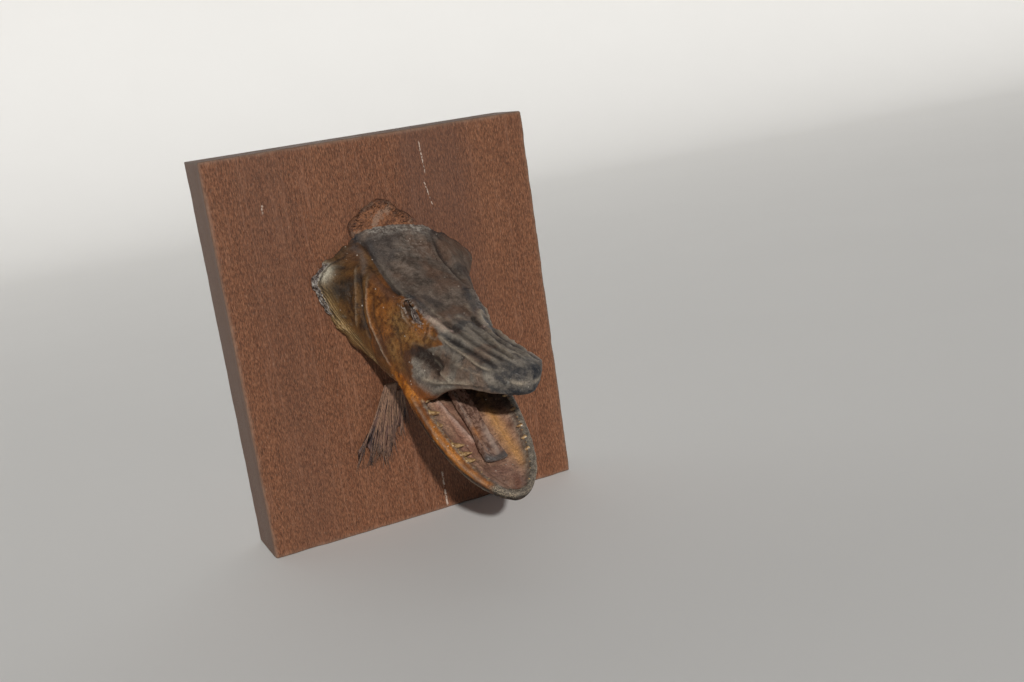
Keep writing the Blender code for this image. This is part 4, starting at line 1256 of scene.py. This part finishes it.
def make_tongue():
    """A dried strip, hollow along its middle, with curled edges and a square, glossy tip."""
    rows, columns = 150, 64
    share = np.linspace(0, 1, rows)[:, None]
    turn = np.linspace(-np.pi, np.pi, columns, endpoint=False)[None, :]
    along = 35.0 + 77.0 * share
    half = 7.0 * np.interp(share, (0, 0.10, 0.35, 1.0), (1.24, 1.12, 0.90, 0.86)) * (1 + 0.05 * np.sin(11 * share))
    floor = 2.2 - TROUGH_DEPTH * np.sqrt(unit((along - JAW_WALL) / TROUGH_RUN))
    thick = 4.6 * (0.62 + 0.38 * share)
    across = half * np.sign(np.sin(turn)) * np.abs(np.sin(turn)) ** 0.6
    rise = 0.5 + 0.5 * np.sign(np.cos(turn)) * np.abs(np.cos(turn)) ** 0.6
    over = smooth(0.5, 0.9, rise)
    edge = np.abs(across) / half
    height = floor + thick * rise + over * (
        1.6 * smooth(0.45, 0.92, edge) - 1.0 * bell(across, 2.6) - 0.5 * smooth(0.12, 0.0, share)
        + 0.7 * np.sin(across * 1.7 + 0.9 * np.sin(6 * share)) * smooth(0.06, 0.2, share)
    )
    points = np.stack(np.broadcast_arrays(along, across - 1.5 * share * share, height), -1)
    for i, scale in enumerate((0.0, 0.55, 0.85)):
        points[i] = points[i].mean(0) + (points[i] - points[i].mean(0)) * scale
        points[i, :, 0] = along[0] + (i - 3) * 0.35 + 1.0
        points[-1 - i] = points[-1 - i].mean(0) + (points[-1 - i] - points[-1 - i].mean(0)) * scale
    points = points + np.stack([noise(points, (6.0, 2.4, 3.0), seed=61 + k) for k in range(3)], -1) * (0.6, 0.45, 0.6)
    look = Look("tongue_skin")
    mottle = look.noise(280.0, 4.0, 0.6, 0.2)
    colour = look.mix(look.span(mottle, 0.36, 0.64), (0.112, 0.060, 0.044), (0.310, 0.190, 0.138))
    # Painted highlight: whitish streaks along the tongue, strongest on its right side
    colour = look.lay(colour, (0.470, 0.370, 0.310), look.mask("pale"), 0.52)
    colour = look.lay(colour, (0.090, 0.086, 0.084), look.mask("grey"), 0.85)
    colour = look.lay(colour, (0.400, 0.165, 0.060), look.mask("orange"), 0.85)
    look.finish(colour, look.span(mottle, 0.3, 0.7, 0.20, 0.36),
                look.bump(look.plus(mottle, look.noise(900.0)), 0.0006, 0.6), 0.5, 0.6)
    flat = points.reshape(-1, 3)
    piece = shell("tongue_strip", to_row(from_jaw(flat)), grid_faces(rows, columns, wrap=True), look.material)
    tip = smooth(43, 37, flat[:, 0] + 0.8 * noise(flat, 3.0, seed=66))
    # pale marks a painted highlight along the tongue
    paint(piece,
          pale=bell(flat[:, 1] - 3.4, 1.7) * smooth(74, 56, flat[:, 0]) * smooth(38, 42, flat[:, 0])
          + 0.7 * bell(flat[:, 1] + 5.0, 1.2) * smooth(60, 72, flat[:, 0]),
          grey=tip, orange=np.exp(-(((flat[:, 0] - 62) / 6.0) ** 2 + ((flat[:, 1] + 4.0) / 2.6) ** 2)))
    return keep(piece, "tongue", "tongue")


def make_eye(word, side):
    """A shrunken eye: its ball has fallen in and wrinkled, and shows dull and glossy through the slit."""
    rows, columns = 90, 130
    down = np.linspace(0.001, np.pi - 0.001, rows)[:, None]
    turn = np.linspace(0, 2 * np.pi, columns, endpoint=False)[None, :]
    out = np.stack(np.broadcast_arrays(np.sin(down) * np.cos(turn), np.sin(down) * np.sin(turn), np.cos(down)), -1)
    outward = np.array([-0.05, side * 0.86, 0.50])
    outward /= np.linalg.norm(outward)
    facing = out @ outward
    crumple = 0.55 * noise(out, (0.8, 0.35, 0.35), seed=71 + (side > 0)) + 0.18 * noise(out, 0.16, seed=75)
    pleat = 0.35 * np.sin(17 * (out[..., 0] * math.sin(SLIT_TURN) - out[..., 2] * math.cos(SLIT_TURN)) + 3 * crumple)
    radius = EYE_RADIUS - 1.3 - 0.8 * smooth(0.70, 1.0, facing) + crumple + pleat * smooth(0.2, 0.6, facing)
    shape = out * radius[..., None]
    slant = np.array([math.cos(SLIT_TURN), 0.0, math.sin(SLIT_TURN)])
    shape = shape + 0.75 * (shape @ slant)[..., None] * slant
    points = np.array(EYE_AT) * (1, side, 1) + shape
    look = Look(f"eye_skin_{word}")
    mottle = look.noise(420.0, 5.0, 0.65, 0.4)
    colour = look.mix(look.span(mottle, 0.38, 0.62), (0.030, 0.020, 0.018), (0.150, 0.105, 0.085))
    # Painted glints on the crests of the ball's crumples
    colour = look.lay(colour, (0.56, 0.52, 0.48), look.mask("pale"), look.span(mottle, 0.35, 0.55))
    look.finish(colour, 0.20, look.bump(look.plus(mottle, look.noise(1500.0)), 0.0006, 0.7), 0.5, 0.6)
    piece = shell(f"eye_{word}_ball", to_row(points.reshape(-1, 3)), grid_faces(rows, columns, wrap=True),
                  look.material)
    # pale marks the painted glints on the crests that face out
    paint(piece, pale=(unit((crumple + pleat) * 1.1) * smooth(0.3, 0.7, facing)).ravel())
    return keep(piece, "eye", f"eye_{word}")


def make_fin(name, node, root, heading, spread, length, root_half, root_stand, tip_stand, count, seed):
    """Dried rays fanning from one root, split and frayed at their ends, with torn membrane between them."""
    heading, spread = math.radians(heading), math.radians(spread)
    chance = np.random.default_rng(seed)
    parts, shades = [], []
    columns = np.linspace(-1, 1, count)
    reach = length * (1 - 0.08 * columns**2) * (1.0 - 0.10 * columns) * chance.uniform(0.86, 1.04, count)
    curl = chance.uniform(-1, 1, count)

    def path(column, far, bend, lift, steps=26):
        share = np.linspace(0, 1, steps)
        angle = heading + column * spread / 2 + 0.10 * bend * share**2
        stand = tip_stand + (root_stand - tip_stand) * (1 - share) ** 1.6 + lift * share**2
        x = root[0] + column * root_half + np.sin(angle) * far * share
        z = root[1] - np.cos(angle) * far * share
        wave = 0.0005 * np.sin(9 * share + 5 * bend)
        return np.stack([x + wave, FACE_Y - GAP - stand - 0.0006 - np.abs(wave), z], -1)

    for k, column in enumerate(columns):
        line = path(column, reach[k], curl[k], chance.uniform(0, 0.0016))
        share = np.linspace(0, 1, len(line))
        radii = RAY_RADIUS * np.interp(share, (0, 0.1, 0.6, 1), (1.1, 1.0, 0.8, 0.25))
        radii = radii * (1 + 0.10 * np.sin(50 * share))
        parts.append(tube(line, radii, 6))
        shades.append(chance.uniform(0.5, 1.0))
        for _ in range(4):
            start = chance.integers(14, 21)
            twig = line[start:].copy()
            drift = np.linspace(0, 1, len(twig))[:, None] ** 1.3
            stray = (chance.uniform(-0.004, 0.004), chance.uniform(-0.0014, 0.0), chance.uniform(-0.004, 0.003))
            twig += drift * np.array(stray)
            parts.append(tube(twig, np.linspace(0.00040, 0.00012, len(twig)), 5))
            shades.append(chance.uniform(0.0, 0.6))
    for k in range(count - 1):
        torn = chance.uniform(0.80, 0.99)
        rows, across = 40, 7
        share = np.linspace(0, torn, rows)[:, None]
        step = np.linspace(0, 1, across)[None, :]
        left = path(columns[k], reach[k], curl[k], 0.0003, 60)
        right = path(columns[k + 1], reach[k + 1], curl[k + 1], 0.0003, 60)
        at = share[:, 0] * (len(left) - 1)
        pick = [np.stack([np.interp(at, np.arange(60), line[:, c]) for c in range(3)], -1) for line in (left, right)]
        sheet = pick[0][:, None] * (1 - step[..., None]) + pick[1][:, None] * step[..., None]
        sheet[..., 1] += 0.0004 * np.sin(np.pi * step) - 0.0002 * np.sin(30 * share)
        ragged = chance.uniform(-0.004, 0.003, across) * (share > 0.7 * torn)
        sheet[..., 2] += ragged
        back = sheet + np.array([0.0, MEMBRANE, 0.0])
        both = np.concatenate([sheet, back[:, ::-1]], axis=1)
        both = np.concatenate([both.mean(1, keepdims=True)[:1].repeat(2 * across, 1), both,
                               both.mean(1, keepdims=True)[-1:].repeat(2 * across, 1)])
        parts.append((both.reshape(-1, 3), grid_faces(rows + 2, 2 * across, wrap=True)))
        shades.append(0.0)
    look = Look(name + "_rays")
    mottle = look.noise(240.0, 4.0, 0.6, 0.2, look.stretched((1.0, 1.0, 0.30)))
    fine = look.noise(1500.0, 3.0, 0.6, 0.0, look.stretched((1.0, 1.0, 0.20)))
    colour = look.mix(look.span(mottle, 0.36, 0.64), (0.026, 0.013, 0.013), (0.125, 0.062, 0.046))
    colour = look.lay(colour, (0.350, 0.205, 0.125), look.mask("pale"), look.span(fine, 0.30, 0.60, 0.25, 0.80))
    colour = look.mix(look.span(fine, 0.46, 0.32, 0.0, 0.8), colour, (0.030, 0.019, 0.018))
    look.finish(colour, 0.50, look.bump(look.plus(mottle, fine), 0.0005, 0.8), 0.45)
    return keep(joined(name, parts, look.material, shades), "fin", node)


def make_tissue():
    """Dried tissue left above the nape: a ragged crust with torn fibres."""
    rows, columns = 90, 220
    share = np.linspace(0.0, 1.0, rows)[:, None]
    turn = np.linspace(0, 2 * np.pi, columns, endpoint=False)[None, :]
    ring = np.stack([np.cos(turn), np.sin(turn), 0 * turn], -1)
    ragged = 1 + 0.08 * noise(ring * 3.0, 1.0, seed=81, octaves=4) + 0.05 * np.sin(5 * turn + 0.6)
    x = CRUST_X + CRUST_HALF_X * share * ragged * np.cos(turn)
    z = CRUST_Z + CRUST_HALF_Z * share * ragged * np.sin(turn)
    flat = np.stack(np.broadcast_arrays(x, 0 * x, z), -1) / MM
    mound = np.interp(np.broadcast_to(share, x.shape), (0, 0.2, 0.55, 0.84, 0.97, 1.0),
                      (4.6, 4.6, 4.0, 2.6, 1.6, 0.0))
    crust = (0.9 * noise(flat, (3.0, 1.0, 5.0), seed=82) + 0.7 * noise(flat, 1.3, seed=83)
             + 0.4 * noise(flat, 0.7, seed=84))
    rim = 0.8 * bell(share - 0.93, 0.05)
    height = np.maximum(mound + (crust + rim) * smooth(1.0, 0.96, share), 0.0) * MM
    points = np.stack([x, FACE_Y - GAP - height, z], -1)
    dark_rim = smooth(0.84, 0.97, share) + smooth(0.55, 0.75, share) * (noise(flat, 2.2, seed=86) > 0.25)
    parts = [(points.reshape(-1, 3), grid_faces(rows, columns, wrap=True))]
    chance = np.random.default_rng(5)
    for _ in range(70):
        angle = chance.uniform(0.1, np.pi - 0.1)
        start = chance.uniform(0.55, 0.95)
        foot = np.array([CRUST_X + CRUST_HALF_X * start * np.cos(angle), 0.0,
                         CRUST_Z + CRUST_HALF_Z * start * np.sin(angle)])
        steps = np.linspace(0, 1, 8)[:, None]
        way = np.array([np.cos(angle) + chance.uniform(-0.8, 0.8), 0,
                        np.sin(angle) * 0.6 + chance.uniform(-0.5, 0.5)])
        line = foot + way * steps * chance.uniform(0.002, 0.0045)
        line[:, 1] = FACE_Y - 0.0026 - 0.0022 * np.sin(np.pi * steps[:, 0] * chance.uniform(0.4, 0.95))
        parts.append(tube(line, np.linspace(0.0004, 0.00012, 8), 5))
    look = Look("nape_crust")
    mottle = look.noise(330.0, 5.0, 0.7, 1.2)
    patch = look.noise(90.0, 3.0, 0.6)
    colour = look.mix(look.span(mottle, 0.36, 0.60), (0.100, 0.038, 0.018), (0.270, 0.112, 0.050))
    colour = look.lay(colour, (0.300, 0.190, 0.130), look.span(patch, 0.52, 0.62), 0.7)
    colour = look.lay(colour, (0.045, 0.020, 0.012), look.mask("pale"), look.span(mottle, 0.3, 0.6, 0.95, 0.55))
    height = look.plus(mottle, look.noise(1200.0))
    look.finish(colour, 0.62, look.bump(height, 0.0009, 0.9), 0.4)
    shades = [unit(dark_rim).ravel()] + [0.8] * (len(parts) - 1)
    return keep(joined("nape_crust", parts, look.material, shades), "tissue", "nape_tissue")


def make_board():
    """The plank, with edges worn unevenly."""
    size = (board_high - board_low) / MM
    middle = (board_high + board_low) / 2 / MM
    cell = 2.6

    def spread(length):
        ends = np.array([0.0, 0.35, 0.8, 1.4, 2.2, 3.4])
        inner = np.linspace(ends[-1], length - ends[-1], max(2, int((length - 2 * ends[-1]) / cell)))
        return np.concatenate([ends[:-1], inner, (length - ends[:-1])[::-1]]) - length / 2

    parts = []
    for axis in range(3):
        u, v = (axis + 1) % 3, (axis + 2) % 3
        for side in (-1, 1):
            rows, columns = spread(size[u]), spread(size[v])
            points = np.zeros((len(rows), len(columns), 3))
            points[..., u], points[..., v] = rows[:, None], columns[None, :]
            points[..., axis] = side * size[axis] / 2
            quads = grid_faces(len(rows), len(columns))
            parts.append((points.reshape(-1, 3), quads if side > 0 else quads[:, ::-1]))
    points = np.concatenate([part[0] for part in parts])
    wear = 0.5 + 0.5 * noise(points, 14.0, seed=91, octaves=4)
    round_off = (0.7 + 1.9 * smooth(0.35, 0.8, wear))[:, None]
    core = np.clip(points, -(size / 2 - round_off), size / 2 - round_off)
    gap = points - core
    length = np.linalg.norm(gap, axis=1)[:, None]
    points = np.where(length > round_off, core + gap / np.maximum(length, 1e-9) * round_off, points)
    points = (points + middle) * MM
    ends = np.cumsum([len(part[0]) for part in parts])[:-1]
    faces = [(chunk, quads) for chunk, (_, quads) in zip(np.split(points, ends), parts)]
    piece = joined("board_plank", faces, wood_look())
    place = np.empty(len(piece.data.vertices) * 3)
    piece.data.vertices.foreach_get("co", place)
    place = place.reshape(-1, 3) / MM - middle
    near = np.sort(size / 2 - np.abs(place), axis=1)
    wear = 0.5 + 0.5 * noise(place, 14.0, seed=91, octaves=4)
    paint(piece, worn=bell(near[:, 1], 2.2) * (0.45 + 0.55 * smooth(0.3, 0.7, wear)),
          side=smooth(2.0, 0.2, size[0] / 2 - np.abs(place[:, 0]))
          + smooth(2.0, 0.2, size[2] / 2 - np.abs(place[:, 2])),
          front=smooth(1.0, 0.2, size[1] / 2 + place[:, 1]))
    return keep(piece, "board", "board")


def make_stage():
    """A plain pale floor that curves up behind the board, soft studio light, and the camera at the photo's angle."""
    bend = np.linspace(0, np.pi / 2, 16)
    depth = np.concatenate([[-16.0, -4.0, -1.0, 1.0], 2.2 + 0.9 * np.sin(bend), [3.1]])
    height = np.concatenate([[0, 0, 0, 0], 0.9 * (1 - np.cos(bend)), [3.4]]) + board_low[2] - 0.0002
    width = np.linspace(-16.0, 16.0, 12)
    points = np.stack(np.broadcast_arrays(width[None, :], depth[:, None], height[:, None]), -1)
    look = Look("floor_paint")
    look.finish(look.mix(look.noise(3.0), (0.77, 0.765, 0.75), (0.80, 0.795, 0.78)), 0.8, specular=0.2)
    shell("floor", points.reshape(-1, 3), grid_faces(len(depth), len(width))[:, ::-1], look.material)

    scene = bpy.context.scene
    scene.view_settings.view_transform = "Standard"
    scene.world = bpy.data.worlds.new("studio")
    scene.world.use_nodes = True
    # Pale at the horizon, so that the room looks the same from every side, and dim above
    nodes, links = scene.world.node_tree.nodes, scene.world.node_tree.links
    way = nodes.new("ShaderNodeTexCoord")
    parts = nodes.new("ShaderNodeSeparateXYZ")
    lift = nodes.new("ShaderNodeMath")
    lift.operation = "ABSOLUTE"
    fade = nodes.new("ShaderNodeMapRange")
    fade.interpolation_type = "SMOOTHSTEP"
    for socket, value in (("From Min", 0.04), ("From Max", 0.42), ("To Min", 0.50), ("To Max", 0.02)):
        fade.inputs[socket].default_value = value
    links.new(way.outputs["Generated"], parts.inputs[0])
    links.new(parts.outputs["Z"], lift.inputs[0])
    links.new(lift.outputs[0], fade.inputs["Value"])
    links.new(fade.outputs["Result"], nodes["Background"].inputs["Strength"])
    nodes["Background"].inputs["Color"].default_value = (0.95, 0.97, 1.0, 1.0)

    def sun(name, way, power, softness, colour):
        """A distant lamp: the way to it, its power, and how wide it looks in degrees."""
        data = bpy.data.lights.new(name, "SUN")
        data.energy = power
        data.angle = math.radians(softness)
        data.color = colour
        made = bpy.data.objects.new(name, data)
        made.rotation_euler = Vector(way).to_track_quat("Z", "Y").to_euler()
        scene.collection.objects.link(made)

    sun("key", (-0.24, -0.87, 0.40), 2.60, 1.6, (1.0, 0.98, 0.95))
    sun("top", (0.30, 0.05, 1.0), 0.16, 60.0, (0.97, 0.98, 1.0))
    sun("back", (0.75, 0.80, 0.55), 0.16, 40.0, (1.0, 1.0, 1.0))

    data = bpy.data.cameras.new("camera")
    data.lens = LENS
    data.sensor_width = SENSOR
    data.clip_start = 0.01
    camera = bpy.data.objects.new("camera", data)
    right, forward = np.array(CAMERA_RIGHT), np.array(CAMERA_FORWARD)
    turned = np.stack([right, np.cross(right, forward), -forward, CAMERA_AT], axis=1)
    camera.matrix_world = Matrix([*turned.tolist(), [0, 0, 0, 1]])
    scene.collection.objects.link(camera)
    scene.camera = camera


make_stage()
make_board()
make_skin()
make_teeth()
make_tongue()
for word, side in (("left", -1), ("right", 1)):
    make_eye(word, side)
for row in FINS:
    make_fin(*row)
make_tissue()
